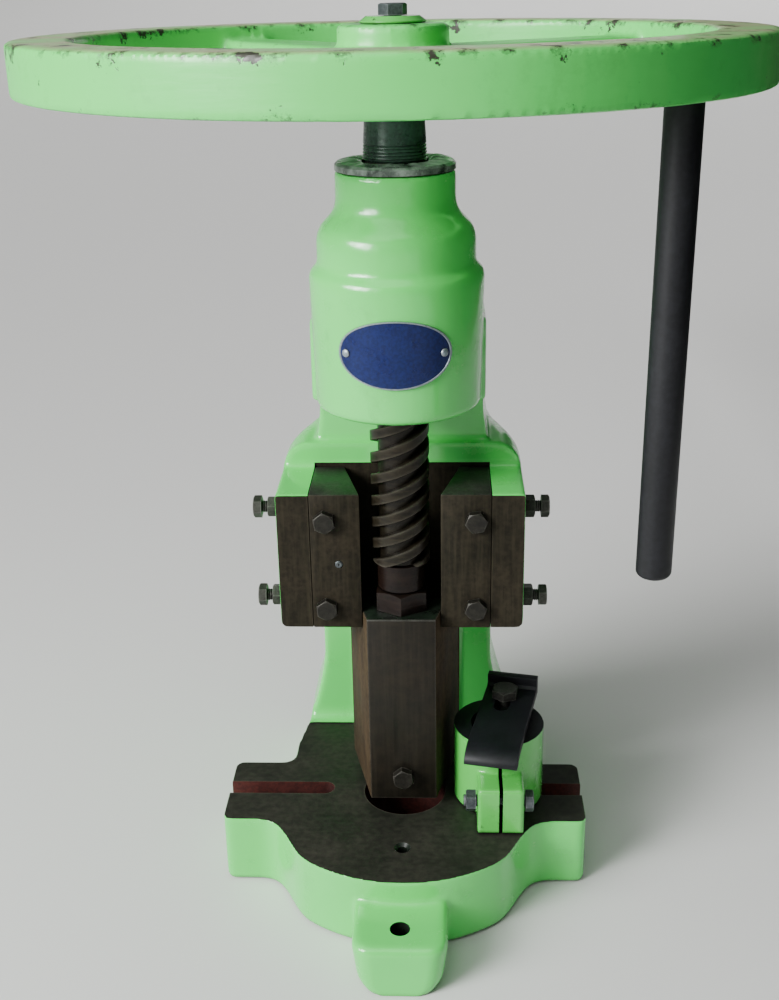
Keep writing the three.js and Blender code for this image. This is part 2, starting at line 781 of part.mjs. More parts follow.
function makeThrustPad() {
  return shaft(
    ramSocketRadius - thrustPadClearance, thrustPadTopZ - thrustPadHeight, thrustPadTopZ, mediumFacets,
  );
}

// Hex bolt: head on the plane Z = 0 and above, shank below it
function hexBolt(radius, flats, headHeight, length) {
  return joined(hexagon(flats, headHeight), shaft(radius, -length, headHeight / 2));
}

function hexNut(flats, height, boreRadius) {
  return hexagon(flats, height).subtract(shaft(boreRadius, -cutOverrun, height + cutOverrun));
}

// Gib bolts stand in the middle of the gib's narrow back edge
function gibBoltX() {
  return (ramHalfWidthAt(guideBackY) + slideClearance + headHalfWidth - cheekThickness) / 2;
}

// Gib: wedge-faced bar between cheek and ram, its inner face along the dovetail
function makeGib() {
  const outerX = headHalfWidth - cheekThickness - seatGap;
  const backY = guideBackY - seatGap;
  const corners = [
    [ramHalfWidthAt(headFrontY) + slideClearance, headFrontY], [outerX, headFrontY],
    [outerX, backY], [ramHalfWidthAt(backY) + slideClearance, backY],
  ];
  const bar = extrudedUp(outlineOf(corners), headBottomZ, guideTopZ, gibEdgeRound);
  const holes = gibBoltZs.map((z) => shaftAlongY(
    boltRadius + boltClearance, headFrontY - cutOverrun, backY + cutOverrun, gibBoltX(), z,
  ));
  return bar.subtract(joined(...holes));
}

function gibPinHole() {
  return shaftAlongY(
    gibPinRadius + seatGap, headFrontY - cutOverrun, headFrontY + gibPinLength, gibPinX, gibPinZ,
  );
}

function makeGibBolt(z) {
  const length = guideBackY + gibBoltBite - headFrontY;
  return hexBolt(boltRadius, boltHeadFlats, boltHeadHeight, length)
    .rotate([90, 0, 0]).translate([gibBoltX(), headFrontY - seatGap, z]);
}

function makeGibPin() {
  return shaftAlongY(
    gibPinRadius, headFrontY - gibPinProud, headFrontY + gibPinLength - seatGap, gibPinX, gibPinZ,
  );
}

// Side screw through the cheek, which pushes the gib towards the ram
function makeAdjuster(z) {
  const tipX = headHalfWidth - cheekThickness - seatGap + adjusterTipGap;
  const headX = headHalfWidth + seatGap + boltNutHeight + adjusterNutToHead;
  return hexBolt(boltRadius, boltHeadFlats, boltHeadHeight, headX - tipX)
    .rotate([0, 90, 0]).translate([headX, adjusterY, z]);
}

function makeAdjusterNut(z) {
  return hexNut(boltHeadFlats, boltNutHeight, boltRadius + seatGap)
    .rotate([0, 90, 0]).translate([headHalfWidth + seatGap, adjusterY, z]);
}

// Screw in the ram's front that clamps the tool shank
function makeToolScrew() {
  const headY = ramFrontY - toolScrewProud;
  return hexBolt(boltRadius, boltHeadFlats, boltHeadHeight, -toolBoreRadius - headY)
    .rotate([90, 0, 0]).translate([0, headY, toolScrewZ]);
}

// Hand wheel: heavy rim, flat arms and a hub bored to the screw's taper
function makeWheel() {
  const innerRadius = wheelRadius - rimWidth;
  const rim = turned([
    [innerRadius, rimBottomZ], [wheelRadius - rimCorner, rimBottomZ], [wheelRadius, rimBottomZ + rimCorner],
    [wheelRadius, rimTopZ - rimCorner], [wheelRadius - rimCorner, rimTopZ], [innerRadius, rimTopZ],
    [innerRadius, rimBottomZ],
  ], 2 * mediumFacets);
  const hub = turned([
    [0, hubBottomZ], [hubRadius, hubBottomZ], [hubRadius, hubTopZ - rimCorner / 2],
    [hubRadius - rimCorner / 2, hubTopZ], [0, hubTopZ],
  ], mediumFacets);
  const armTopZ = rimTopZ - armTopDrop;
  const arm = extrudedUp(outlineOf([
    [0, -armHubWidth / 2], [innerRadius + rimWidth / 2, -armRimWidth / 2],
    [innerRadius + rimWidth / 2, armRimWidth / 2], [0, armHubWidth / 2],
  ]), armTopZ - armHeight, armTopZ, rimCorner);
  const arms = [...Array(armCount).keys()].map(
    (index) => arm.rotate([0, 0, armTurnDegrees + index * (360 / armCount)]),
  );
  const boreLow = hubBottomZ - cutOverrun;
  const boreHigh = hubTopZ + cutOverrun;
  const bore = turned([
    [0, boreLow], [taperRadiusAt(boreLow) + seatGap, boreLow],
    [taperRadiusAt(boreHigh) + seatGap, boreHigh], [0, boreHigh],
  ], mediumFacets);
  const socket = atHandle(shaft(
    handleSpigotRadius + seatGap, rimBottomZ - cutOverrun,
    rimBottomZ + handleSpigotLength + seatGap, mediumFacets,
  ));
  return joined(rim, hub, ...arms).subtract(joined(bore, socket, keySpace(seatGap)));
}

function makeWasher() {
  const topZ = hubTopZ + washerHeight;
  return shaft(washerRadius, hubTopZ + seatGap, topZ, mediumFacets)
    .subtract(shaft(topBoltRadius + boltClearance, hubTopZ - cutOverrun, topZ + cutOverrun));
}

function makeTopBolt() {
  return hexBolt(topBoltRadius, topBoltFlats, topBoltHeadHeight, topBoltLength)
    .translate([0, 0, hubTopZ + washerHeight + seatGap]);
}

// Places a form made on the wheel's axis where the handle hangs
function atHandle(solid) {
  return solid.translate([wheelRadius - handleInset, 0, 0]).rotate([0, 0, handleTurnDegrees]);
}

// Handle: plain round bar that hangs from the rim, its lower end rounded
function makeHandle() {
  const topZ = rimBottomZ - seatGap;
  const bottomZ = topZ - handleLength;
  const profile = [[0, bottomZ]];
  const roundSteps = 3;
  for (let step = 0; step <= roundSteps; step += 1) {
    const angle = (Math.PI / 2) * (step / roundSteps);
    profile.push([
      handleRadius - handleEndRound * (1 - Math.sin(angle)),
      bottomZ + handleEndRound * (1 - Math.cos(angle)),
    ]);
  }
  profile.push(
    [handleRadius, topZ], [handleSpigotRadius, topZ],
    [handleSpigotRadius, topZ + handleSpigotLength], [0, topZ + handleSpigotLength],
  );
  return atHandle(turned(profile));
}

// Bare oval plate that follows the barrel's curve
function makeNamePlate() {
  const bottomZ = plateCentreZ - plateHalfHeight - cutOverrun;
  const topZ = plateCentreZ + plateHalfHeight + cutOverrun;
  const wrap = (growth) => turned([
    [0, bottomZ], [barrelRadiusAt(bottomZ) + growth, bottomZ],
    [barrelRadiusAt(topZ) + growth, topZ], [0, topZ],
  ], fineFacets);
  const oval = new THREE.Shape();
  oval.absellipse(0, plateCentreZ, plateHalfWidth, plateHalfHeight, 0, 2 * Math.PI, false, 0);
  const front = extrudedBack(oval, -barrelTopRadius - cutOverrun, 0);
  const rivetHoles = [-1, 1].map((side) => atRivet(side, shaftAlongY(
    plateRivetRadius + seatGap, -barrelTopRadius - cutOverrun, 0, 0, plateCentreZ,
  )));
  return wrap(seatGap + plateThickness).subtract(wrap(seatGap)).intersect(front)
    .subtract(joined(...rivetHoles));
}

function makePlateRivet(side) {
  const wallY = -barrelRadiusAt(plateCentreZ);
  const plateY = wallY - seatGap - plateThickness - seatGap;
  const shankFrontY = plateY - plateRivetHeadHeight / 2;
  const shank = shaftAlongY(plateRivetRadius, shankFrontY, wallY + plateRivetLength, 0, plateCentreZ);
  const head = turned([
    [0, 0], [plateRivetHeadRadius, 0],
    [plateRivetHeadRadius * rivetCrownRadiusShare, plateRivetHeadHeight * rivetCrownHeightShare],
    [0, plateRivetHeadHeight],
  ], smallFacets).rotate([90, 0, 0]).translate([0, plateY, plateCentreZ]);
  return atRivet(side, joined(shank, head));
}

// Stop collar: split ring with two ears, made about its own bore and then stood on the bed
function onCollar(solid) {
  return solid.translate([collarX, 0, bedThickness + seatGap]);
}

function makeStopCollar() {
  const ring = turned([
    [0, 0], [collarRadius - collarRound, 0], [collarRadius, collarRound],
    [collarRadius, collarHeight - collarRound], [collarRadius - collarRound, collarHeight],
    [0, collarHeight],
  ], mediumFacets);
  const earFront = -collarRadius - lugReach;
  const ears = extrudedUp(outlineOf([
    [-lugWidth / 2, earFront], [lugWidth / 2, earFront], [lugWidth / 2, 0], [-lugWidth / 2, 0],
  ]), 0, lugHeight, collarRound);
  const bore = shaft(collarBoreRadius, -cutOverrun, collarHeight + cutOverrun, mediumFacets);
  const slit = block(
    [-lugSlit / 2, earFront - cutOverrun, -cutOverrun], [lugSlit / 2, 0, collarHeight + cutOverrun],
  );
  const holeHalf = lugWidth / 2 + cutOverrun;
  const boltHole = shaftAlongX(boltRadius + boltClearance, -holeHalf, holeHalf, lugBoltY(), lugBoltHeight);
  const dogHole = shaft(dogBoltRadius + seatGap, collarHeight - dogBoltLength, collarHeight + cutOverrun);
  const dogHolePlace = dogTurned(dogHole.translate([0, dogBoltY, 0]), 0);
  return onCollar(joined(ring, ears).subtract(joined(bore, slit, boltHole, dogHolePlace)));
}

function lugBoltY() {
  return -collarRadius - lugBoltReach;
}

// The dog and its bolt are turned a little about the collar's axis
function dogTurned(solid, offsetX) {
  return solid.translate([offsetX, 0, 0]).rotate([0, 0, dogTurnDegrees]);
}

function makeLugBolt() {
  const headX = lugWidth / 2 + seatGap;
  const length = lugWidth + 2 * seatGap + boltNutHeight;
  return onCollar(hexBolt(boltRadius, boltHeadFlats, boltHeadHeight, length)
    .rotate([0, 90, 0]).translate([headX, lugBoltY(), lugBoltHeight]));
}

function makeLugNut() {
  return onCollar(hexNut(boltHeadFlats, boltNutHeight, boltRadius + seatGap)
    .rotate([0, -90, 0]).translate([-lugWidth / 2 - seatGap, lugBoltY(), lugBoltHeight]));
}

// Stop dog: bent bar on top of the collar, with a short leg in front and a lip behind
function makeStopDog() {
  const underZ = collarHeight + seatGap;
  const topZ = underZ + dogThickness;
  const frontY = -collarRadius - lugReach;
  const legBottomZ = topZ - dogLegLength;
  const outline = new THREE.Shape();
  outline.moveTo(frontY, legBottomZ);
  outline.lineTo(frontY + dogThickness, legBottomZ);
  outline.lineTo(frontY + dogThickness, underZ);
  outline.lineTo(dogRearY, underZ);
  outline.lineTo(dogRearY, topZ + dogRearHeight);
  outline.lineTo(dogRearY - dogThickness, topZ + dogRearHeight);
  outline.lineTo(dogRearY - dogThickness, topZ);
  outline.lineTo(frontY + dogBendRadius, topZ);
  outline.quadraticCurveTo(frontY, topZ, frontY, topZ - dogBendRadius);
  const bar = extrudedAcross(outline, dogWidth / 2, seatGap);
  const slotHalf = dogBoltRadius + boltClearance;
  const slotEnds = [dogBoltY, dogBoltY - dogSlotRun].map(
    (y) => shaft(slotHalf, underZ - cutOverrun, topZ + cutOverrun).translate([-dogOffsetX, y, 0]),
  );
  const slotRun = block(
    [-dogOffsetX - slotHalf, dogBoltY - dogSlotRun, underZ - cutOverrun],
    [-dogOffsetX + slotHalf, dogBoltY, topZ + cutOverrun],
  );
  return onCollar(dogTurned(bar.subtract(joined(...slotEnds, slotRun)), dogOffsetX));
}

function makeDogBolt() {
  const headZ = collarHeight + seatGap + dogThickness + seatGap;
  return onCollar(dogTurned(
    hexBolt(dogBoltRadius, dogBoltFlats, dogBoltHeadHeight, dogBoltLength)
      .translate([0, dogBoltY, headZ]), 0,
  ));
}

// The left-hand twin of a piece made for the right-hand side
function onSide(side, solid) {
  return side < 0 ? solid.mirror([1, 0, 0]) : solid;
}

const press = new THREE.Group();
press.name = 'fly_press';

const body = new THREE.Group();
body.add(
  named('frame_casting', makeFrame(), greenEnamel()),
  named('screw_nut', makeNut(), oiledIron()),
  named('name_plate', makeNamePlate(), plateBlue()),
  named('plate_rivet_left', makePlateRivet(-1), zincSteel()),
  named('plate_rivet_right', makePlateRivet(1), zincSteel()),
  named('gib_left', onSide(-1, makeGib().subtract(gibPinHole())), oiledIron()),
  named('gib_right', makeGib(), oiledIron()),
  named('gib_pin', onSide(-1, makeGibPin()), zincSteel()),
);
for (const [sideName, side] of [['left', -1], ['right', 1]]) {
  for (const [levelName, level] of [['upper', 0], ['lower', 1]]) {
    const place = `${sideName}_${levelName}`;
    body.add(
      named(`gib_bolt_${place}`, onSide(side, makeGibBolt(gibBoltZs[level])), zincSteel()),
      named(`adjusting_screw_${place}`, onSide(side, makeAdjuster(adjusterZs[level])), zincSteel()),
      named(`lock_nut_${place}`, onSide(side, makeAdjusterNut(adjusterZs[level])), zincSteel()),
    );
  }
}

const stopSet = new THREE.Group();
stopSet.add(
  named('stop_collar', makeStopCollar(), greenEnamel()),
  named('stop_collar_bolt', makeLugBolt(), zincSteel()),
  named('stop_collar_nut', makeLugNut(), zincSteel()),
  named('stop_dog', makeStopDog(), blackSteel()),
  named('stop_dog_bolt', makeDogBolt(), oiledIron()),
);

const slide = new THREE.Group();
slide.add(
  named('ram', makeRam(), oiledIron()),
  named('ram_gland', makeGland(), oiledIron()),
  named('thrust_pad', makeThrustPad(), screwSteel()),
  named('tool_clamp_screw', makeToolScrew(), screwSteel()),
);

const turning = new THREE.Group();
turning.add(
  named('screw', makeScrew(), screwSteel()),
  named('screw_end_nut', makeEndNut(), screwSteel()),
  named('flywheel', makeWheel(), greenEnamel()),
  named('wheel_key', keySpace(0), screwSteel()),
  named('wheel_washer', makeWasher(), greenEnamel()),
  named('wheel_bolt', makeTopBolt(), zincSteel()),
  named('handle', makeHandle(), blackSteel()),
);

press.add(body, stopSet, slide, turning);

export default press;
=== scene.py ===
# Fly press: the looks of a green enamelled hand press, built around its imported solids.
import bpy
import bmesh
from math import asin, atan2, cos, floor, pi, radians, sin, sqrt, tan
from mathutils import Matrix, Vector


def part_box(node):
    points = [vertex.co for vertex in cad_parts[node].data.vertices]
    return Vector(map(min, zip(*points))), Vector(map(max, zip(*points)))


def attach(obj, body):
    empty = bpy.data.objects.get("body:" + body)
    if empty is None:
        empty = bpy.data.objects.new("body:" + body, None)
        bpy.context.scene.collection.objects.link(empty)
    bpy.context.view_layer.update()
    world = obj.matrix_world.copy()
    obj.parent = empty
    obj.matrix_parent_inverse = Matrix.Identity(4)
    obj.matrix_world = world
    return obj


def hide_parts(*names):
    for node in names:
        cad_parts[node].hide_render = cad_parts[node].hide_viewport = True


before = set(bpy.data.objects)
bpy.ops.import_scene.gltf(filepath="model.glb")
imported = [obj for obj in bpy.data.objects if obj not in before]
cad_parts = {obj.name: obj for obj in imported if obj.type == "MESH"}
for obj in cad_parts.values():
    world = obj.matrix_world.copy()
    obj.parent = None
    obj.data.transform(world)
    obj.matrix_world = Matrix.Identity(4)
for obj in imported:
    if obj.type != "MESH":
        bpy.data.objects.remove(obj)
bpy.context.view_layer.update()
scene = bpy.context.scene
mm = 0.001
print("stage: solids loaded")


def linearColour(code):
    parts = [int(code[i:i + 2], 16) / 255 for i in (1, 3, 5)]
    return [c / 12.92 if c <= 0.04045 else ((c + 0.055) / 1.055) ** 2.4 for c in parts] + [1]


# Values given as a row go to the sockets after the first, and a linked node stands for its first output
def addNode(tree, kind, values=None, links=None, **settings):
    node = tree.nodes.new("ShaderNode" + kind)
    for name, value in settings.items():
        setattr(node, name, value)
    for socket, value in values.items() if isinstance(values, dict) else enumerate(values or (), 1):
        node.inputs[socket].default_value = value
    for socket, source in (links or {}).items():
        tree.links.new(source.outputs[0] if isinstance(source, bpy.types.Node) else source, node.inputs[socket])
    return node


def startMaterial(name, **gloss):
    material = bpy.data.materials.new(name)
    material.use_nodes = True
    tree = material.node_tree
    tree.nodes.clear()
    shader = addNode(tree, "BsdfPrincipled", gloss)
    addNode(tree, "OutputMaterial", links={"Surface": shader})
    place = addNode(tree, "TexCoord").outputs["Object"]
    return material, tree, shader, place


def linkShader(tree, shader, colour, gloss, bump):
    tree.links.new(colour, shader.inputs["Base Color"])
    tree.links.new(gloss.outputs["Result"], shader.inputs["Roughness"])
    tree.links.new(bump.outputs["Normal"], shader.inputs["Normal"])


# Brushed alkyd enamel over grey cast iron: glossy ridges, faint brush lines, grime, painted shade in the corners,
# chipped edges
def brushedEnamel(name, base, **changes):
    look = dict(base, **changes)
    material, tree, shader, place = startMaterial(name, Metallic=0.0, IOR=1.5)
    noises = ((14, 3, 0.55), (42, 7, 0.7), (26, 8, 0.66), (look["chipScale"], 5, 0.75))
    cloud, smudge, patch, level = [
        addNode(tree, "TexNoise", {"Scale": scale, "Detail": detail, "Roughness": rough}, {"Vector": place})
        for scale, detail, rough in noises]
    tone = addNode(tree, "Mix", {6: linearColour(look["coat"]), 7: linearColour(look["thinCoat"])}, {0: cloud},
                   data_type="RGBA")
    # random grime; the corner mask below adds painted shade in the same colour
    grimeAndShade = addNode(tree, "MapRange", (0.56, 0.78, 0, look["grimeShare"]), {0: smudge})
    # painted shade: darker toward the grime colour where surfaces meet and near other parts
    hollow = addNode(tree, "AmbientOcclusion", {"Distance": 0.009}, samples=4)
    corner = addNode(tree, "MapRange", (0.72, 0.3, 0, look["cornerShadeShare"]), {0: hollow.outputs["AO"]})
    layers = [("grimeAndShade", addNode(tree, "Math", links={0: grimeAndShade, 1: corner}, operation="ADD", use_clamp=True))]
    gloss = addNode(tree, "MapRange", (0.3, 0.75, look["gloss"], look["dull"]), {0: smudge})
    if "dustFrom" in look:  # above this height and beyond the hub it is rubbed through and dusty
        start, beyond = look["dustFrom"], look["dustBeyond"]
        height = addNode(tree, "SeparateXYZ", links={0: place}).outputs["Z"]
        reach = addNode(tree, "VectorMath", links={0: place}, operation="LENGTH").outputs["Value"]
        above = addNode(tree, "MapRange", (start, start + 0.0015), {0: height})
        outside = addNode(tree, "MapRange", (beyond, beyond + 0.01), {0: reach})
        spread = addNode(tree, "MapRange", (0.36, 0.6, 0.35, 0.92), {0: patch})
        knocked = addNode(tree, "MapRange", (start - 0.009, start, 0, 0.13), {0: height})
        band = addNode(tree, "Math", links={0: above, 1: outside}, operation="MULTIPLY")
        dust = addNode(tree, "Math", links={0: band, 1: spread}, operation="MULTIPLY")
        flake = addNode(tree, "Math", links={0: knocked, 1: spread}, operation="MULTIPLY")
        level = addNode(tree, "Math", links={0: level, 1: flake}, operation="ADD")
        layers.append(("dust", dust))
    # chips down to the dark casting, mostly along raised edges
    rim = addNode(tree, "AmbientOcclusion", {"Distance": 0.004}, samples=4, inside=True, only_local=True)
    edge = addNode(tree, "MapRange", (0.9, 0.55, 0, look["edgeChips"]), {0: rim.outputs["AO"]})
    level = addNode(tree, "Math", links={0: level, 1: edge}, operation="ADD")
    chip = addNode(tree, "MapRange", (look["chipLevel"], look["chipLevel"] + 0.02), {0: level})
    colour = tone.outputs[2]
    for code, share in layers + [("bare", chip)]:
        colour = addNode(tree, "Mix", {7: linearColour(look[code])}, {0: share, 6: colour},
                         data_type="RGBA").outputs[2]
    stretched = addNode(tree, "Mapping", {"Scale": look["brush"]}, {"Vector": place})
    wave = addNode(tree, "TexNoise", {"Scale": 1, "Detail": 2}, {"Vector": stretched})
    depth = addNode(tree, "Math", links={0: wave, 1: chip}, operation="SUBTRACT")
    bump = addNode(tree, "Bump", {"Strength": 0.3, "Distance": 0.0004}, {"Height": depth})
    linkShader(tree, shader, colour, gloss, bump)
    shader.inputs["Coat Weight"].default_value = look["varnish"]
    shader.inputs["Coat Roughness"].default_value = 0.09
    return material


# Planed or turned iron and steel under old oil: dark film, faint tool marks, painted shade where surfaces meet, edges
# rubbed bright and lightened as a painted highlight
def oiledMetal(name, base, **changes):
    look = dict(base, **changes)
    material, tree, shader, place = startMaterial(name, Metallic=look["metal"])
    along = addNode(tree, "Mapping", {"Scale": look["grain"]}, {"Vector": place})
    noises = ((1, 4, 0.6, along), (look["patch"], 6, 0.62, place), (look["patch"] * 9, 3, 0.6, place))
    marks, cloud, mottle = [
        addNode(tree, "TexNoise", {"Scale": scale, "Detail": detail, "Roughness": rough}, {"Vector": source})
        for scale, detail, rough, source in noises]
    film = addNode(tree, "MapRange", (0.34, 0.66), {0: cloud})
    stained = addNode(tree, "Mix", {6: linearColour(look["oil"]), 7: linearColour(look["rust"])}, {0: film},
                      data_type="RGBA")
    shade = addNode(tree, "MapRange", (0.38, 0.62, 0.72, 1.22), {0: mottle})
    colour = addNode(tree, "VectorMath", links={0: stained.outputs[2], "Scale": shade}, operation="SCALE")
    streak = addNode(tree, "MapRange", (0.42, 0.72, 0, look["markShare"]), {0: marks})
    # painted shade: near-black where surfaces meet and near other parts, over old oil blackened there
    hollow = addNode(tree, "AmbientOcclusion", {"Distance": 0.007}, samples=4)
    depth = addNode(tree, "MapRange", (0.8, 0.35, 0, look["hollowShare"]), {0: hollow.outputs["AO"]})
    # edges rubbed bright by wear and lightened further as a painted highlight
    brink = addNode(tree, "AmbientOcclusion", {"Distance": look["rubReach"]}, samples=4, inside=True, only_local=True)
    rub = addNode(tree, "MapRange", (0.86, 0.5, 0, look["edgeRub"]), {0: brink.outputs["AO"]})
    for code, share in (("mark", streak), ("sootAndShade", depth), ("bright", rub)):
        colour = addNode(tree, "Mix", {7: linearColour(look[code])}, {0: share, 6: colour},
                         data_type="RGBA").outputs[2]
    gloss = addNode(tree, "MapRange", (0.3, 0.7, look["gloss"], look["dull"]), {0: cloud})
    bump = addNode(tree, "Bump", {"Strength": look["relief"], "Distance": 0.0003}, {"Height": marks})
    linkShader(tree, shader, colour, gloss, bump)
    shader.inputs["Specular IOR Level"].default_value = look["sheenLevel"]
    return material


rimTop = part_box("flywheel")[1].z - 0.004
# the grime colour also paints the shade in corners
enamelLook = {"coat": "#49d058", "thinCoat": "#5ed968", "grimeAndShade": "#3f8236", "grimeShare": 0.3, "cornerShadeShare": 0.8,
              "gloss": 0.14, "dull": 0.34, "bare": "#33352a", "chipScale": 55, "chipLevel": 0.76, "edgeChips": 0.08,
              "brush": (90, 90, 22), "varnish": 0.35}
# soot paints shade in hollows and near other parts, over blackened old oil
tableLook = {"metal": 0.2, "grain": (60, 300, 60), "patch": 24, "oil": "#1f211b", "rust": "#2d2c25",
             "markShare": 0.1, "mark": "#4a473c", "bright": "#6f6a5e", "edgeRub": 0.3, "rubReach": 0.0012,
             "gloss": 0.45, "dull": 0.7, "relief": 0.25, "hollowShare": 0.75, "sootAndShade": "#080705", "sheenLevel": 0.35}
guideLook = dict(tableLook, grain=(420, 60, 26), patch=30, oil="#1a1810", rust="#28231a", mark="#383326",
                 markShare=0.42, metal=0.15, bright="#4f4a3c", relief=0.3, gloss=0.55, dull=0.75,
                 sheenLevel=0.15)
screwLook = dict(tableLook, grain=(60, 60, 500), patch=34, oil="#12110b", rust="#211a11", mark="#3b3628",
                 metal=0.4, markShare=0.5, gloss=0.26, dull=0.46, relief=0.2, bright="#59554a", edgeRub=0.55,
                 rubReach=0.0024, hollowShare=0.97)
boltLook = dict(tableLook, grain=(300, 300, 300), patch=90, oil="#151410", rust="#211f1a", mark="#38362f",
                metal=0.35, markShare=0.3, gloss=0.34, dull=0.55, relief=0.15, bright="#6b6960", edgeRub=0.6,
                rubReach=0.0008)
zincLook = dict(boltLook, oil="#3c4245", rust="#52585a", mark="#717678", bright="#9a9ea0", metal=0.6,
                hollowShare=0.4)
greaseLook = dict(tableLook, grain=(120, 120, 120), patch=60, oil="#0d120d", rust="#1b241c", mark="#2c372d",
                  metal=0.1, gloss=0.16, dull=0.5, relief=0.6, bright="#39443a", edgeRub=0.3)
handleLook = dict(tableLook, grain=(400, 400, 6), patch=40, oil="#0f1013", rust="#15161a", mark="#1d1e22",
                  metal=0.1, gloss=0.4, dull=0.6, relief=0.12, bright="#2c2e32", edgeRub=0.3)

greenEnamel = brushedEnamel("greenEnamelOnCastIron", enamelLook)
rimEnamel = brushedEnamel("greenEnamelOnWheel", enamelLook, dustFrom=rimTop - 0.0015, dustBeyond=0.575,
                          dust="#a9a083", edgeChips=0.15, gloss=0.3, dull=0.5, brush=(40, 40, 260), varnish=0.1,
                          chipLevel=0.66)
collarEnamel = brushedEnamel("greenEnamelOnCollar", enamelLook, coat="#47b148", thinCoat="#55bb50", chipScale=70,
                             edgeChips=0.12, chipLevel=0.72)
planedTable = oiledMetal("planedCastIronTable", tableLook)
planedGuide = oiledMetal("planedCastIronGuide", guideLook)
# the ram's edges are lightened by wear and as a painted highlight line
oiledRam = oiledMetal("oiledMildSteelRam", tableLook, grain=(420, 420, 14), patch=22, oil="#110f09",
                      rust="#1d170d", mark="#2c281e", markShare=0.35, gloss=0.4, dull=0.6,
                      edgeRub=0.8, bright="#7d766a")
oiledScrew = oiledMetal("oiledTurnedSteelScrew", screwLook)
dullBolt = oiledMetal("dullSteelFasteners", boltLook)
zincBolt = oiledMetal("zincPlatedFasteners", zincLook)
# worn steel for adjusters and nuts, also laid on the gib tops and the ram's top front bevel as a painted highlight
wornBoltAndHighlight = oiledMetal("wornSteelAndHighlights", boltLook, oil="#2b2b27", rust="#3c3c37", mark="#565651",
                      bright="#85867f", metal=0.5)
planedStrip = oiledMetal("planedCastIronStrip", guideLook, oil="#2c241a", rust="#3f3426", mark="#51432f",
                         gloss=0.65, dull=0.85, sheenLevel=0.1)
greasyIron = oiledMetal("greasyBoredIron", greaseLook)
greasyNut = oiledMetal("greasyCastIronNut", greaseLook, oil="#263029", rust="#59665c", mark="#9aa79c",
                       markShare=0.8, relief=1.0, bright="#6d7a70", hollowShare=0.3, sheenLevel=0.6, patch=110)
greasyTaper = oiledMetal("greasySteelTaper", greaseLook, grain=(60, 60, 500), oil="#263b30", rust="#334c40",
                         mark="#435b4e", markShare=0.3, hollowShare=0.4)
rustyShank = oiledMetal("rustyTurnedSteelShank", screwLook, grain=(30, 30, 420), oil="#0e0907", rust="#1e110c",
                        mark="#251b14", relief=0.8, bright="#33261d", edgeRub=0.3, rubReach=0.0008)
blackBar = oiledMetal("blackenedSteelBar", handleLook)
blackStrap = oiledMetal("blackenedSteelStrap", handleLook, grain=(80, 80, 80), oil="#0b0d11", rust="#101216")
redPrimer = oiledMetal("redOxidePrimer", tableLook, grain=(90, 90, 90), patch=45, oil="#2c1210", rust="#481d17",
                       mark="#21100c", metal=0.0, gloss=0.5, dull=0.75, bright="#5e2a20")
print("stage: materials made")


# Forms are drawn in millimetres and turned to metres when they become an object
def slabForm(outline, start, end, lie="Z"):
    form = bmesh.new()
    face = form.faces.new([form.verts.new((u, v, start)) for u, v in outline])
    grown = bmesh.ops.extrude_face_region(form, geom=[face])["geom"]
    bmesh.ops.translate(form, verts=[g for g in grown if isinstance(g, bmesh.types.BMVert)], vec=(0, 0, end - start))
    order = {"Z": (0, 1, 2), "Y": (0, 2, 1), "X": (2, 0, 1)}[lie]
    for v in form.verts:
        v.co = [v.co[axis] for axis in order]
    bmesh.ops.recalc_face_normals(form, faces=form.faces)
    return form


def blockForm(low, high):
    form = bmesh.new()
    bmesh.ops.create_cube(form, size=1)
    bmesh.ops.scale(form, vec=[b - a for a, b in zip(low, high)], verts=form.verts)
    bmesh.ops.translate(form, vec=[(a + b) / 2 for a, b in zip(low, high)], verts=form.verts)
    return form


def turnedForm(profile, steps=72, ring=False):
    form = bmesh.new()
    points = [form.verts.new((radius, 0, height)) for radius, height in profile]
    pairs = list(zip(points, points[1:])) + ([(points[-1], points[0])] if ring else [])
    edges = [form.edges.new(pair) for pair in pairs]
    bmesh.ops.spin(form, geom=points + edges, cent=(0, 0, 0), axis=(0, 0, 1), dvec=(0, 0, 0),
                   angle=2 * pi, steps=steps, use_merge=True, use_duplicate=False)
    bmesh.ops.remove_doubles(form, verts=form.verts, dist=0.001)
    bmesh.ops.recalc_face_normals(form, faces=form.faces)
    return form


def rodForm(radius, start, end, steps=32):
    return turnedForm([(0, start), (radius, start), (radius, end), (0, end)], steps)


# Rounds the edges that turn by more than an angle, or only those that pick accepts
def roundEdges(form, width, steps=3, pick=None, least=30):
    edges = [e for e in form.edges if e.is_manifold and e.calc_face_angle(0) > radians(least)
             and (pick is None or pick((e.verts[0].co + e.verts[1].co) / 2, e.verts[1].co - e.verts[0].co))]
    bmesh.ops.bevel(form, geom=edges, offset=width, offset_type="OFFSET", segments=steps, profile=0.5,
                    affect="EDGES", clamp_overlap=True, material=-1)
    return form


def turnBy(angle, axis):
    return Matrix.Rotation(radians(angle), 4, axis)


def placed(form, move=(0, 0, 0), turn=None, angle=0):
    if turn:
        bmesh.ops.rotate(form, cent=(0, 0, 0), matrix=turnBy(angle, turn).to_3x3(), verts=form.verts)
    bmesh.ops.translate(form, vec=move, verts=form.verts)
    return form


# Cuts edge rings across a form where planes cross the given axis
def ringed(form, axis, places):
    for place in places:
        bmesh.ops.bisect_plane(form, geom=form.verts[:] + form.edges[:] + form.faces[:], dist=0.0001,
                               plane_co=[v * place for v in axis], plane_no=axis)


def hung(name, data):
    thing = bpy.data.objects.new(name, data)
    scene.collection.objects.link(thing)
    return thing


def makePiece(name, form, *materials):
    bmesh.ops.scale(form, vec=(mm, mm, mm), verts=form.verts)
    mesh = bpy.data.meshes.new(name)
    form.to_mesh(mesh)
    form.free()
    for material in materials:
        mesh.materials.append(material)
    return hung(name, mesh)


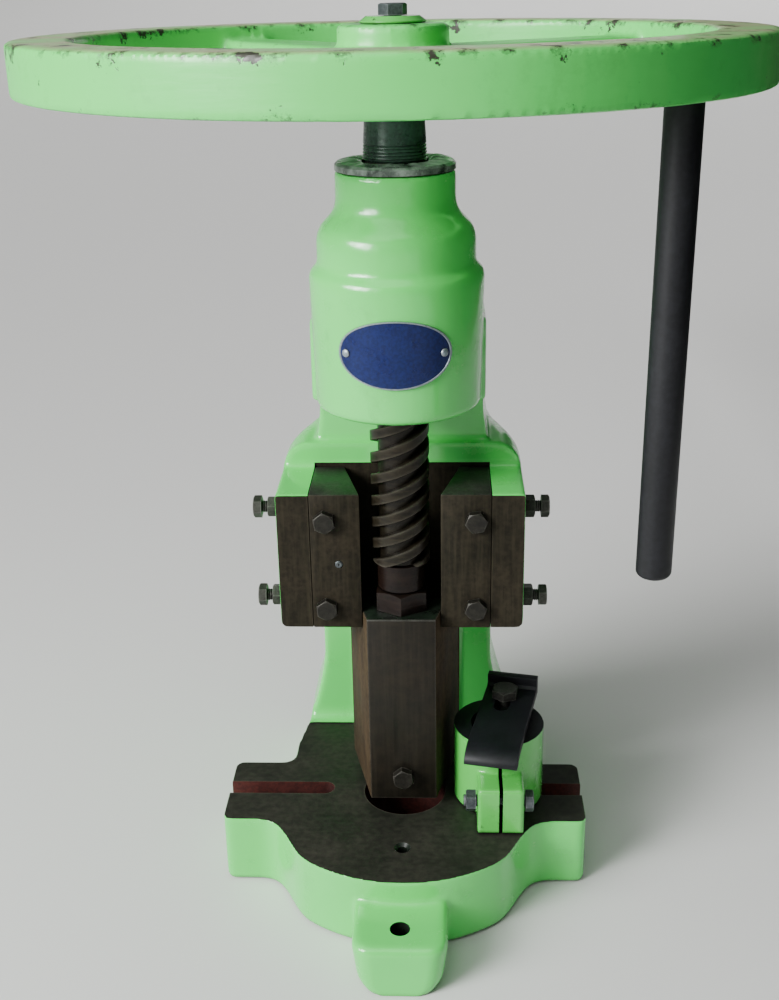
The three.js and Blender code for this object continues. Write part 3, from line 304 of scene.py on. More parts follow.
def settled(piece, kind, **settings):
    modifier = piece.modifiers.new(kind.title(), kind)
    for name, value in settings.items():
        setattr(modifier, name, value)
    graph = bpy.context.evaluated_depsgraph_get()
    mesh = bpy.data.meshes.new_from_object(piece.evaluated_get(graph), preserve_all_data_layers=True, depsgraph=graph)
    piece.modifiers.clear()
    piece.data = mesh
    return piece


# The tool is a form, or a piece made before
def carved(piece, form, material=None, operation="DIFFERENCE"):
    tool = makePiece("tool", form, material) if material else form
    settled(piece, "BOOLEAN", object=tool, operation=operation, solver="MANIFOLD", material_mode="TRANSFER")
    bpy.data.objects.remove(tool)
    return piece


# A casting: its parts grow into one skin with soft inner and outer corners
def castPiece(name, forms, material, grid, softness):
    piece = makePiece(name, forms[0], material)
    for form in forms[1:]:
        carved(piece, form, material, "UNION")
    settled(piece, "REMESH", mode="VOXEL", voxel_size=grid * mm, adaptivity=0)
    settled(piece, "SMOOTH", factor=0.5, iterations=softness)
    return piece


def finished(piece, body, slotName, *nodes, crease=32):
    for face in piece.data.polygons:
        face.use_smooth = True
    piece.data.set_sharp_from_angle(angle=radians(crease))
    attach(piece, body)
    if nodes:
        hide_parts(*nodes)
    return piece


def boxOf(node):
    low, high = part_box(node)
    return [v / mm for v in low], [v / mm for v in high]


def middleOf(node):
    low, high = boxOf(node)
    return [(a + b) / 2 for a, b in zip(low, high)]


# Frame: bed, column, gooseneck, guide head and barrel in one casting
bed = {"radius": 103, "top": 52, "earFront": -36.5, "earBack": 34, "earCorner": 6, "turn": 53, "pull": 22,
       "rootX": 80, "filletEnd": 102, "backRoot": 83, "backRun": 58, "rearCorner": 24,
       "footHalf": 31, "footHeight": 36, "footRoot": 8, "footCorner": 12, "footDraft": 4.2, "footTuck": 5.5,
       "footRings": (1, 2.5, 4.5, 7, 10, 20), "tuckHeight": 12, "frontRoot": -94, "rearRoot": 2.5,
       "underRound": 3.5, "footRound": 4.5, "holeRadius": 29, "slotWidth": 14, "slotFloor": 30, "slotStart": 51,
       "slotMiddle": 2, "stopHoleY": -66, "stopHole": 3.6, "stopSink": 5.6, "footHole": 6.5, "footHoleY": -126.6,
       "rearHoleY": 186, "allowance": 1.0}
column = {"front": 97, "rear": 165, "half": 64, "footHalf": 77, "flareTop": 110, "neckHalf": 55, "neckTop": 398,
          "taperFrom": 262, "taperTo": 330, "gooseneck": 118, "throat": 34, "stripHalf": 40, "stripTop": 168,
          "stripProud": 1.2, "neckFace": 45, "skirt": 9, "start": 26, "edgeRound": 8}
head = {"half": 81, "front": -12, "bottom": 190, "guideTop": 286, "back": 40, "shoulderTop": 303,
        "shoulderRound": 19, "lowRound": 4, "cheek": 21.5, "taperStart": 58, "taperEnd": 132}
barrel = {"bottom": 345,
          "profile": [(0, 345), (48.6, 345), (51.6, 348), (53.5, 427), (52.6, 430.2), (50.4, 432.2), (48.3, 434),
                      (48.3, 448), (47.6, 452.5), (45.4, 457), (42.4, 460.2), (39.2, 463.4), (37.0, 467),
                      (36, 472), (36, 489), (0, 489)],
          "boreRadius": 23, "nutRadius": 28.4, "nutFloor": 403.6}
boltHole = {"clear": 4.5, "tapped": 4.3}
casting = {"grid": 1.75, "softness": 7, "ringStep": 6}

frameLow, frameHigh = boxOf("frame_casting")
earReach = frameHigh[0]


def eased(share):
    return 3 * share ** 2 - 2 * share ** 3


def columnHalfAt(z):
    if z < column["flareTop"]:
        share = min(1, (column["flareTop"] - z) / (column["flareTop"] - bed["top"]))
        return column["half"] + (column["footHalf"] - column["half"]) * share ** 1.4
    share = min(1, max(0, (z - column["taperFrom"]) / (column["taperTo"] - column["taperFrom"])))
    return column["half"] + (column["neckHalf"] - column["half"]) * eased(share)


def arcPoints(middleX, middleY, radius, start, end, steps=8):
    turns = [radians(start + (end - start) * i / steps) for i in range(steps + 1)]
    return [(middleX + radius * cos(t), middleY + radius * sin(t)) for t in turns]


def curvePoints(start, pullA, pullB, end, steps=12):
    points = []
    for i in range(steps + 1):
        t = i / steps
        weights = ((1 - t) ** 3, 3 * t * (1 - t) ** 2, 3 * t * t * (1 - t), t ** 3)
        points.append(tuple(sum(w * q[k] for w, q in zip(weights, (start, pullA, pullB, end))) for k in (0, 1)))
    return points


def mirroredOutline(right):
    return right + [(-x, y) for x, y in reversed(right)]


def makeBedForms():
    b, top = bed, bed["top"] + bed["allowance"]
    turn = radians(b["turn"])
    start = (b["radius"] * cos(turn), -b["radius"] * sin(turn))
    pull = (start[0] + b["pull"] * sin(turn), start[1] + b["pull"] * cos(turn))
    corner = b["earCorner"]
    rearX, rearY = column["footHalf"] - b["rearCorner"], column["rear"] - b["rearCorner"]
    right = arcPoints(0, 0, b["radius"], -89, -b["turn"], 16)[:-1]
    right += curvePoints(start, pull, (b["rootX"], b["earFront"]), (b["filletEnd"], b["earFront"]))
    right += arcPoints(earReach - corner, b["earFront"] + corner, corner, -90, 0, 5)
    right += arcPoints(earReach - corner, b["earBack"] - corner, corner, 0, 90, 5)
    right += curvePoints((b["filletEnd"], b["earBack"]), (b["backRoot"], b["earBack"]),
                         (b["backRoot"], b["earBack"]), (b["backRoot"], b["backRun"]))
    right += [(column["footHalf"], column["front"])] + arcPoints(rearX, rearY, b["rearCorner"], 0, 89)
    table = slabForm(mirroredOutline(right), 0, top)
    roundEdges(table, b["underRound"], 3, lambda mid, run: mid.z < 1 and mid.y < column["front"])
    feet = []
    for rootY, reach in ((b["frontRoot"], frameLow[1]), (column["rear"] - b["rearRoot"], frameHigh[1])):
        out = 1 if reach > 0 else -1
        half, root, nose = b["footHalf"], b["footRoot"], b["footCorner"]
        side = [(half + root, 0), (half + root, rootY)]
        side += curvePoints((half + root, rootY), (half + root / 3, rootY), (half, rootY + out * root / 3),
                            (half, rootY + out * root), 6)[1:]
        side += curvePoints((half, reach - out * nose), (half, reach - out * nose / 2),
                            (half - nose / 2, reach), (half - nose, reach), 6)
        foot = slabForm(mirroredOutline(side), 0, b["footHeight"])
        roundEdges(foot, b["footRound"], 4,
                   lambda mid, run: mid.z > b["footHeight"] - 1 and abs(mid.y) > abs(rootY))
        ringed(foot, (0, 0, 1), b["footRings"])
        for v in foot.verts:
            beyond = min(1, max(0, out * (v.co.y - rootY) / b["footCorner"]))
            tuck = b["footTuck"] * max(0, 1 - v.co.z / b["tuckHeight"]) ** 2
            drawn = b["footDraft"] * (1 - v.co.z / b["footHeight"]) + tuck
            v.co.x *= 1 - beyond * drawn / half
        feet.append(foot)
    return [table] + feet


def makeColumnForm():
    c = column
    form = slabForm([(c["front"], c["start"]), (c["rear"], c["start"]), (c["rear"], c["neckTop"]), (0, c["neckTop"]),
                     (0, barrel["bottom"]), (c["neckFace"], barrel["bottom"]), (c["neckFace"], head["shoulderTop"]),
                     (head["back"], head["shoulderTop"]), (head["back"], head["bottom"]),
                     (c["front"], head["bottom"])], -c["half"], c["half"], "X")
    roundEdges(form, c["gooseneck"], 16, lambda mid, run: mid.y > c["rear"] - 1 and mid.z > c["neckTop"] - 1)
    roundEdges(form, c["throat"], 8,
               lambda mid, run: abs(mid.y - c["front"]) < 1 and abs(mid.z - head["bottom"]) < 1)
    roundEdges(form, c["edgeRound"], 4, lambda mid, run: abs(mid.x) > c["half"] - 1 and (mid.y > 80 or mid.z > 350))
    ringed(form, (0, 0, 1), range(32, 396, casting["ringStep"]))
    for v in form.verts:
        v.co.x *= columnHalfAt(v.co.z) / c["half"]
    return form


def makeHeadForm():
    h = head
    form = slabForm([(-h["half"], h["bottom"]), (h["half"], h["bottom"]), (h["half"], h["shoulderTop"]),
                     (-h["half"], h["shoulderTop"])], h["back"], h["taperEnd"], "Y")
    roundEdges(form, h["shoulderRound"], 8, lambda mid, run: mid.z > h["shoulderTop"] - 1 and abs(mid.x) > 1)
    roundEdges(form, h["lowRound"], 3, lambda mid, run: mid.z < h["bottom"] + 1 and abs(mid.x) > h["half"] - 1)
    ringed(form, (0, 1, 0), range(h["taperStart"], h["taperEnd"], casting["ringStep"]))
    for v in form.verts:
        share = max(0, (v.co.y - h["taperStart"]) / (h["taperEnd"] - h["taperStart"]))
        v.co.x *= 1 - (1 - column["half"] / h["half"]) * eased(share)
    return form


def makeFrameCasting():
    c, h = column, head
    front, skirt, top, wide = c["front"], c["skirt"], bed["top"], c["stripHalf"]
    cheeks = blockForm((-h["half"], h["front"] - bed["allowance"], h["bottom"]),
                       (h["half"], h["back"] + 12, h["guideTop"]))
    roundEdges(cheeks, h["lowRound"], 3, lambda mid, run: mid.z < h["bottom"] + 1 and abs(mid.x) > h["half"] - 1)
    strip = blockForm((-wide, front - c["stripProud"] - 1, c["start"]), (wide, front + 9, c["stripTop"]))
    skirts, rise = [], top + skirt
    for side in (-1, 1):
        hollow = [(front - skirt * (1 - sin(radians(t))), rise - skirt * cos(radians(t))) for t in range(0, 91, 15)]
        ends = sorted((side * (wide + 1), side * (c["footHalf"] - 1)))
        skirts.append(slabForm([(front + 4, rise), (front + 4, 40), (front - skirt, 40)] + hollow, *ends, "X"))
    forms = makeBedForms() + [makeColumnForm(), makeHeadForm(), cheeks, strip] + skirts
    piece = castPiece("frameCasting", forms + [turnedForm(barrel["profile"], 96)], greenEnamel,
                      casting["grid"], casting["softness"])
    print("stage: casting grown,", len(piece.data.polygons), "faces")
    # cuts reach out past the casting; those that meet the bed's top end 14 mm above it
    over, pocket = top + 14, h["half"] - h["cheek"]
    stopHole = [(0, 34), (bed["stopHole"], 34), (bed["stopHole"], 50), (bed["stopSink"], top), (bed["stopSink"], 70),
                (0, 70)]
    cuts = [
        (blockForm((-150, -160, top), (150, front - skirt, over)), planedTable),
        (blockForm((-wide, 60, top), (wide, front - 0.6, over)), planedTable),
        (blockForm((-wide, 60, top + 0.01), (wide, front - c["stripProud"], c["stripTop"] + 6)), planedStrip),
        (blockForm((-120, -60, 150), (120, h["front"], h["guideTop"] + 0.4)), planedGuide),
        (blockForm((-pocket, -60, 150), (pocket, h["back"], h["guideTop"] + 3)), planedGuide),
        (rodForm(bed["holeRadius"], -9, 70, 64), redPrimer),
        (placed(rodForm(bed["footHole"], -9, 70), (0, bed["footHoleY"], 0)), greasyIron),
        (placed(rodForm(bed["footHole"], -9, 70), (0, bed["rearHoleY"], 0)), greasyIron),
        (placed(turnedForm(stopHole, 32), (0, bed["stopHoleY"], 0)), greasyIron),
        (rodForm(barrel["boreRadius"], 330, 500, 64), greasyIron),
        (rodForm(barrel["nutRadius"], barrel["nutFloor"], 500, 64), greasyIron),
        (blockForm((-160, -220, -20), (160, 260, 0)), greenEnamel),
        (blockForm((-60, -60, frameHigh[2]), (60, 60, 520)), greenEnamel),
    ]
    half, middle, depth = bed["slotWidth"] / 2, bed["slotMiddle"], bed["slotFloor"]
    for side in (-1, 1):
        start = side * (bed["slotStart"] + half)
        ends = sorted((start, side * 150))
        cuts.append((placed(rodForm(half, depth, 80), (start, middle, 0)), redPrimer))
        cuts.append((blockForm((ends[0], middle - half, depth), (ends[1], middle + half, 80)), redPrimer))
        for node in ("gib_bolt_left_upper", "gib_bolt_left_lower"):
            x, _, z = middleOf(node)
            cuts.append((placed(rodForm(boltHole["clear"], 30, 56.5), (side * -x, 0, z), "X", -90), greasyIron))
        for node in ("adjusting_screw_left_upper", "adjusting_screw_left_lower"):
            _, y, z = middleOf(node)
            cuts.append((placed(rodForm(boltHole["tapped"], 50, 96), (0, y, z), "Y", side * 90), greasyIron))
    for form, material in cuts:
        carved(piece, form, material)
    print("stage: casting machined,", len(piece.data.polygons), "faces")
    return finished(piece, "frame", "green_enamel", "frame_casting", crease=34)


makeFrameCasting()
print("stage: frame done")

# Three-start square thread: each start is a bar wound up the core
thread = {"radius": 19, "root": 14, "lead": 45, "starts": 3, "land": 7.2, "stepsPerTurn": 48, "edge": 0.5}


def threadPiece(name, low, high, growth, material):
    t = thread
    pitch = t["lead"] / t["starts"]
    first = (floor(low / pitch) - t["starts"]) * pitch
    turns = 2 + floor((high - first) / t["lead"])
    half, outer, inner, edge = t["land"] / 2 + growth, t["radius"] + growth, t["root"] - 2, t["edge"]
    section = [(inner, -half), (outer - edge, -half), (outer, edge - half),
               (outer, half - edge), (outer - edge, half), (inner, half)]
    piece = makePiece(name, rodForm(t["root"] + growth, low, high, 64), material)
    for start in range(t["starts"]):
        bar = bmesh.new()
        bar.faces.new([bar.verts.new((x, 0, z + first + start * pitch)) for x, z in section])
        bmesh.ops.spin(bar, geom=bar.verts[:] + bar.edges[:] + bar.faces[:], cent=(0, 0, 0), axis=(0, 0, 1),
                       dvec=(0, 0, t["lead"] / t["stepsPerTurn"]), angle=2 * pi * turns,
                       steps=turns * t["stepsPerTurn"], use_merge=False, use_duplicate=False)
        bmesh.ops.recalc_face_normals(bar, faces=bar.faces)
        carved(piece, bar, material, "UNION")
    return carved(piece, blockForm((-40, -40, low), (40, 40, high)), material, "INTERSECT")


screwLow, screwHigh = boxOf("screw")
nutLow, nutHigh = boxOf("screw_nut")
shank = {"radius": 16, "bottom": boxOf("ram_gland")[1][2] + 0.3, "threadStart": boxOf("ram")[1][2] + 35,
         "threadEnd": nutHigh[2] + 0.4, "taperLow": 19.2, "taperHigh": 15, "neck": 11, "drill": 5.3,
         "core": 12, "grooves": 5, "groovePitch": 1.9, "keyPlay": 0.3}
nut = {"radius": 28, "flangeRadius": 36, "flange": 4.5, "chamfer": 1.3, "counterbore": 20, "counterdepth": 8.2,
       "growth": 0.7,
       "bead": [(20.4, -1), (20.4, 0.2), (22, 1), (25, 1.5), (28.5, 1.2), (32, 0.6), (34.4, 0.1), (34.4, -1)]}


def taperAt(z):
    share = (z - shank["threadEnd"]) / (screwHigh[2] - shank["threadEnd"])
    return shank["taperLow"] + (shank["taperHigh"] - shank["taperLow"]) * share


def makeScrew():
    s, top = shank, screwHigh[2]
    radius, bottom, start, end = s["radius"], s["bottom"], s["threadStart"], s["threadEnd"]
    piece = threadPiece("pressScrew", start, end, 0, oiledScrew)
    lower = turnedForm([(0, screwLow[2]), (s["neck"], screwLow[2]), (s["neck"], bottom), (radius - 1, bottom),
                        (radius, bottom + 1), (radius, start - 0.8), (thread["root"], start + 0.2),
                        (s["core"], start + 3), (0, start + 3)], 64)
    rings = []
    for k in range(s["grooves"]):
        z = end + 1.2 + k * s["groovePitch"]
        out = taperAt(z)
        rings += [(out, z), (out - 0.5, z + 0.45), (out - 0.5, z + 0.75), (out, z + 1.2)]
    taper = turnedForm([(0, end - 3), (s["core"], end - 3), (s["core"], end - 0.3), (s["taperLow"] - 1, end)] + rings
                       + [(s["taperHigh"] + 0.1, top - 1), (s["taperHigh"] - 0.9, top), (0, top)], 64)
    carved(piece, lower, rustyShank, "UNION")
    carved(piece, taper, greasyTaper, "UNION")
    carved(piece, rodForm(s["drill"], top - 30, top + 4), oiledScrew)
    keyLow, keyHigh = boxOf("wheel_key")
    carved(piece, blockForm([v - s["keyPlay"] for v in keyLow], [v + s["keyPlay"] for v in keyHigh]), oiledScrew)
    return finished(piece, "screw", "screw_steel", "screw")


def makeNut():
    n, low, high = nut, nutLow[2], nutHigh[2]
    rim, seat = n["flangeRadius"], high - n["flange"]
    form = turnedForm([(0, low), (n["radius"], low), (n["radius"], seat), (rim, seat), (rim, high - n["chamfer"]),
                       (rim - n["chamfer"], high), (0, high)], 96)
    piece = makePiece("flangedNut", form, greasyNut)
    # grease pushed out of the thread stands on the flange in a lumpy ring
    bead = turnedForm(n["bead"], 160, ring=True)
    for v in bead.verts:
        turn = atan2(v.co.y, v.co.x)
        lump = 0.5 + 0.2 * sin(3 * turn + 0.7) * sin(7 * turn) + 0.3 * sin(11 * turn + 1) ** 2
        lump += 0.9 * max(0, cos(turn - 0.3)) ** 8 + 0.5 * max(0, cos(turn - 2.8)) ** 8
        v.co.z = high + (v.co.z * lump if v.co.z > 0 else v.co.z)
    carved(piece, bead, greasyNut, "UNION")
    carved(piece, rodForm(n["counterbore"], high - n["counterdepth"], high + 9, 64), greasyNut)
    carved(piece, threadPiece("nutBore", low - 5, high + 9, n["growth"], greasyIron))
    return finished(piece, "frame", "oiled_iron", "screw_nut")


makeScrew()
makeNut()
print("stage: screw and nut done")

# Hand wheel with a washer, a bolt and the long handle
wheelLow, wheelHigh = boxOf("flywheel")
wheel = {"radius": 213.5, "rimWidth": 35, "rimHeight": 28.5, "hubRadius": 32, "hubProud": 4, "armDrop": 9,
         "armHeight": 17, "armHub": 46, "armRim": 34, "armTurn": 36, "armRound": 4, "handleHole": 7.3, "grid": 2.0,
         "softness": 5}
wheel["rimTop"] = wheelHigh[2] - wheel["hubProud"]
wheel["rimBottom"] = wheel["rimTop"] - wheel["rimHeight"]


def makeWheel():
    w = wheel
    out, low, high = w["radius"], w["rimBottom"], w["rimTop"]
    inner = out - w["rimWidth"]
    rim = turnedForm([(inner, low), (out, low), (out, high), (inner, high)], 160, ring=True)
    hub = rodForm(w["hubRadius"], wheelLow[2], wheelHigh[2], 72)
    armTop, reach, hubHalf, rimHalf = high - w["armDrop"], inner + 8, w["armHub"] / 2, w["armRim"] / 2
    arms = []
    for index in range(4):
        arm = slabForm([(0, -hubHalf), (reach, -rimHalf), (reach, rimHalf), (0, hubHalf)],
                       armTop - w["armHeight"], armTop)
        roundEdges(arm, w["armRound"], 3, lambda mid, run: abs(run.x) > 50)
        arms.append(placed(arm, turn="Z", angle=w["armTurn"] + 90 * index))
    piece = castPiece("handWheel", [rim, hub] + arms, rimEnamel, w["grid"], w["softness"])
    bottom, top = wheelLow[2] - 4, wheelHigh[2] + 4
    bore = turnedForm([(0, bottom), (taperAt(bottom) + 0.3, bottom), (taperAt(top) + 0.3, top), (0, top)], 64)
    carved(piece, bore, planedTable)
    handleX, handleY, _ = middleOf("handle")
    hole = rodForm(w["handleHole"], low - 5, low + 18.3)
    carved(piece, placed(hole, (handleX, handleY, 0)), planedTable)
    keyLow, keyHigh = boxOf("wheel_key")
    play = shank["keyPlay"]
    carved(piece, blockForm([v - play for v in keyLow], [keyHigh[0] + play, keyHigh[1] + play, top]), planedTable)
    return finished(piece, "screw", "green_enamel", "flywheel", crease=36)


def makeHandle():
    low, high = boxOf("handle")
    x, y, _ = middleOf("handle")
    radius, end, spigot, shoulder = 9.8, 3.5, 7, high[2] - 18
    profile = [(0, low[2])] + [(radius - end + u, low[2] + end + v) for u, v in arcPoints(0, 0, end, -90, 0, 8)]
    profile += [(radius, shoulder), (spigot, shoulder), (spigot, high[2]), (0, high[2])]
    form = placed(turnedForm(profile, 64), (x, y, 0))
    return finished(makePiece("handleBar", form, blackBar), "screw", "black_steel", "handle")


def makeWasher():
    low, high = (corner[2] for corner in boxOf("wheel_washer"))
    bore, radius, bevelled = 5.5, 19.2, 15.6
    form = turnedForm([(bore, low), (radius - 0.6, low), (radius, low + 0.6), (radius, low + 1.2),
                       (bevelled + 0.8, high - 0.6), (bevelled, high), (bore, high)], 72, ring=True)
    return finished(makePiece("wheelWasher", form, collarEnamel), "screw", "zinc_steel", "wheel_washer")


makeWheel()
makeHandle()
makeWasher()
print("stage: wheel done")


# Hexagon with corners on the Y axis; its end is turned to a 30-degree cone
def hexForm(flats, height):
    flat = 0.96 * flats / 2
    form = turnedForm([(0, 0), (2, 0), (2, 1), (1, 1), (0, 1)], 48)
    for v in form.verts:
        out, end = Vector((v.co.x, v.co.y)).length, v.co.z > 0.5
        if out > 1.5:
            reach = flats / 2 / cos((atan2(v.co.y, v.co.x) - pi / 6) % (pi / 3) - pi / 6)
            v.co = (v.co.x * reach / 2, v.co.y * reach / 2, (height - (reach - flat) * tan(pi / 6)) if end else 0)
        else:
            v.co = (v.co.x * flat, v.co.y * flat, height if end else 0)
    return form


# Threaded shank below the plane Z = 0, drawn as fine rings between two depths
def shankForm(radius, length, ringFrom=0, ringTo=0, pitch=1.25):
    profile = [(0, -length), (radius - 0.8, -length), (radius, 0.8 - length)]
    z = -ringTo
    while ringTo and z + pitch <= -ringFrom:
        profile += [(radius, z), (radius, z + pitch * 0.3), (radius - 0.6, z + pitch * 0.65)]
        z += pitch
    profile += [(radius, -ringFrom), (radius, 1), (0, 1)]
    return turnedForm(profile, 24)


facing = {"up": Matrix.Identity(4), "front": turnBy(90, "X"), "right": turnBy(90, "Y"), "left": turnBy(-90, "Y")}
smallHead = {"flats": 13, "height": 5.5, "radius": 4}
smallNut = dict(smallHead, height=6.8)
largeHead = {"flats": 17, "height": 6.4, "radius": 5}
wheelHead = dict(largeHead, flats=14.6)


def hexPiece(name, node, body, material, way, at, size, length=0, rings=(0, 0), twist=0):
    piece = makePiece(name, hexForm(size["flats"], size["height"]), material)
    if length:
        carved(piece, shankForm(size["radius"], length, *rings), material, "UNION")
    else:
        carved(piece, rodForm(size["radius"] + 0.3, -2, size["height"] + 2, 24), material)
    piece.data.transform(Matrix.Translation([v * mm for v in at]) @ facing[way] @ turnBy(twist, "Z"))
    return finished(piece, body, "zinc_steel", node, crease=28)


twists = iter((8, -14, 21, 4, -9, 17, -22, 11, 5, -17, 26, -6))
for side in ("left", "right"):
    for level in ("upper", "lower"):
        spot, suffix = side + "_" + level, side.title() + level.title()
        low, high = boxOf("gib_bolt_" + spot)
        x, _, z = middleOf("gib_bolt_" + spot)
        hexPiece("gibBolt" + suffix, "gib_bolt_" + spot, "frame", dullBolt, "front", (x, head["front"] - 0.3, z),
                 smallHead, high[1] - head["front"], twist=next(twists))
        low, high = boxOf("adjusting_screw_" + spot)
        _, y, z = middleOf("adjusting_screw_" + spot)
        tip, headX = low[0], high[0] - smallHead["height"]
        if side == "left":
            tip, headX = high[0], low[0] + smallHead["height"]
        hexPiece("adjuster" + suffix, "adjusting_screw_" + spot, "frame", wornBoltAndHighlight, side, (headX, y, z),
                 smallHead, abs(headX - tip), (0, 14), next(twists))
        low, high = boxOf("lock_nut_" + spot)
        hexPiece("lockNut" + suffix, "lock_nut_" + spot, "frame", wornBoltAndHighlight, side,
                 (high[0] if side == "left" else low[0], y, z), smallNut, twist=next(twists))
low, high = boxOf("wheel_bolt")
seat = high[2] - wheelHead["height"]
hexPiece("wheelBolt", "wheel_bolt", "screw", zincBolt, "up", (0, 0, seat), wheelHead, seat - low[2], twist=-16)
low, high = boxOf("tool_clamp_screw")
x, _, z = middleOf("tool_clamp_screw")
hexPiece("toolClampScrew", "tool_clamp_screw", "ram", dullBolt, "front", (x, low[1] + smallHead["height"], z),
         smallHead, high[1] - low[1] - smallHead["height"], (0, 4), 9)
print("stage: bolts done")


# Guide strips, ram and what turns in it
ram = {"front": 23.0, "frontY": -23, "slope": 0.25, "play": 0.4, "toolBore": 12.7, "toolDepth": 46, "socket": 16}
pin = {"radius": 2.5, "hole": 2.9, "chamfer": 0.6, "pitRadius": 0.8, "pitDepth": 0.9}
gland = {"flats": 33, "height": 14.7, "spigot": 15.7, "bore": 11.8}


def slopedHalf(y):
    return ram["front"] + (y - ram["frontY"]) * ram["slope"]


def makeGib(side):
    node = "gib_" + side
    low, high = boxOf(node)
    sign, outer = (-1, -low[0]) if side == "left" else (1, high[0])
    corners = [(slopedHalf(low[1]) + ram["play"], low[1]), (outer, low[1]), (outer, high[1]),
               (slopedHalf(high[1]) + ram["play"], high[1])]
    form = slabForm([(sign * x, y) for x, y in corners], low[2], high[2])
    roundEdges(form, 0.9, 2)
    piece = makePiece("gib" + side.title(), form, planedGuide, wornBoltAndHighlight)
    # the top faces take the lighter worn steel as a painted highlight where light falls from above
    for face in piece.data.polygons:
        face.material_index = int(face.normal.z > 0.9)
    for level in ("upper", "lower"):
        x, _, z = middleOf("gib_bolt_%s_%s" % (side, level))
        carved(piece, placed(rodForm(boltHole["clear"], -60, 60), (x, 0, z), "X", 90), planedGuide)
    if side == "left":
        x, _, z = middleOf("gib_pin")
        carved(piece, placed(rodForm(pin["hole"], -2, 20), (x, 0, z), "X", 90), planedGuide)
    return finished(piece, "frame", "oiled_iron", node)


def makeGibPin():
    low, high = boxOf("gib_pin")
    x, _, z = middleOf("gib_pin")
    radius, length, chamfer, pit = pin["radius"], high[1] - low[1], pin["chamfer"], pin["pitRadius"]
    floorAt = length - pin["pitDepth"]
    form = turnedForm([(0, 0), (radius, 0), (radius, length - chamfer), (radius - chamfer, length), (pit, length),
                       (pit - 0.2, floorAt), (0, floorAt)], 28)
    placed(form, (x, high[1], z), "X", 90)
    return finished(makePiece("gibPin", form, zincBolt), "frame", "zinc_steel", "gib_pin")


def makeRam():
    low, high = boxOf("ram")
    back = high[1]
    form = slabForm([(-ram["front"], low[1]), (ram["front"], low[1]), (slopedHalf(back), back),
                     (-slopedHalf(back), back)], low[2], high[2])
    roundEdges(form, 1.0, 2)
    piece = makePiece("ramBar", form, oiledRam, planedStrip, greasyIron, wornBoltAndHighlight)
    for face in piece.data.polygons:
        if abs(face.normal.x) > 0.5:
            face.material_index = 1
        elif face.normal.z > 0.98:
            face.material_index = 2
        # the bevel along the top front edge takes the lighter worn steel as a painted highlight line
        elif face.normal.z > 0.3 and face.normal.y < -0.3:
            face.material_index = 3
    carved(piece, rodForm(ram["toolBore"], low[2] - 5, low[2] + ram["toolDepth"], 48), oiledRam)
    padTop = boxOf("thrust_pad")[0][2] - 0.3
    carved(piece, rodForm(ram["socket"], padTop, high[2] + 5, 48), oiledRam)
    _, _, z = middleOf("tool_clamp_screw")
    carved(piece, placed(rodForm(boltHole["tapped"], 0, 40), (0, 0, z), "X", 90), oiledRam)
    return finished(piece, "ram", "oiled_iron", "ram")


def makeGland():
    low, high = (corner[2] for corner in boxOf("ram_gland"))
    seat = high - gland["height"]
    form = placed(hexForm(gland["flats"], gland["height"]), (0, 0, seat))
    piece = makePiece("screwGland", form, rustyShank)
    carved(piece, rodForm(gland["spigot"], low, seat + 3, 48), oiledScrew, "UNION")
    carved(piece, rodForm(gland["bore"], low - 4, high + 4, 48), oiledScrew)
    return finished(piece, "ram", "screw_steel", "ram_gland")


makeGib("left")
makeGib("right")
makeGibPin()
makeRam()
makeGland()
print("stage: guide and ram done")

# Split stop collar and the bent dog that stands on it
collarLow, collarHigh = boxOf("stop_collar")
collar = {"radius": 31.4, "bore": 19.4, "lugHalf": 15.8, "lugHeight": 35, "slit": 2.6, "dogTurn": -12, "dogShift": 3,
          "dogHalf": 18, "dogThick": 6, "legLength": 9.8, "bend": 17, "lipRise": 8, "dogReach": 13.7,
          "boltInset": 6, "slotRun": 15, "dogHole": 5.5, "tapped": 5.3, "lugRound": 2.5, "grid": 0.95, "softness": 4}
collarX = (collarLow[0] + collarHigh[0]) / 2
collarFront = collarLow[1]
_, lugBoltY, lugBoltZ = middleOf("stop_collar_bolt")


def makeStopCollar():
    c, low, high = collar, collarLow[2], collarHigh[2]
    middle = (collarX, 0, 0)
    ring = placed(rodForm(c["radius"], low, high + 1, 96), middle)
    lugTop = low + c["lugHeight"]
    lug = blockForm((collarX - c["lugHalf"], collarFront, low), (collarX + c["lugHalf"], 0, lugTop))
    roundEdges(lug, c["lugRound"], 3, lambda mid, run: mid.z > lugTop - 1 or mid.y < collarFront + 1)
    piece = castPiece("stopCollar", [ring, lug], collarEnamel, c["grid"], c["softness"])
    carved(piece, blockForm((0, -80, high), (120, 80, high + 10)), blackStrap)
    carved(piece, blockForm((0, -80, low - 10), (120, 80, low)), planedTable)
    carved(piece, placed(rodForm(c["bore"], low - 5, high + 5, 64), middle), greasyIron)
    slit = c["slit"] / 2
    carved(piece, blockForm((collarX - slit, -80, low - 5), (collarX + slit, 0, high + 5)), greasyIron)
    carved(piece, placed(rodForm(boltHole["clear"], -40, 40), (collarX, lugBoltY, lugBoltZ), "Y", 90), greasyIron)
    hole = placed(rodForm(c["tapped"], high - 30, high + 5), (0, c["radius"] - c["boltInset"], 0))
    carved(piece, placed(hole, middle, "Z", c["dogTurn"]), greasyIron)
    return finished(piece, "frame", "green_enamel", "stop_collar", crease=36)


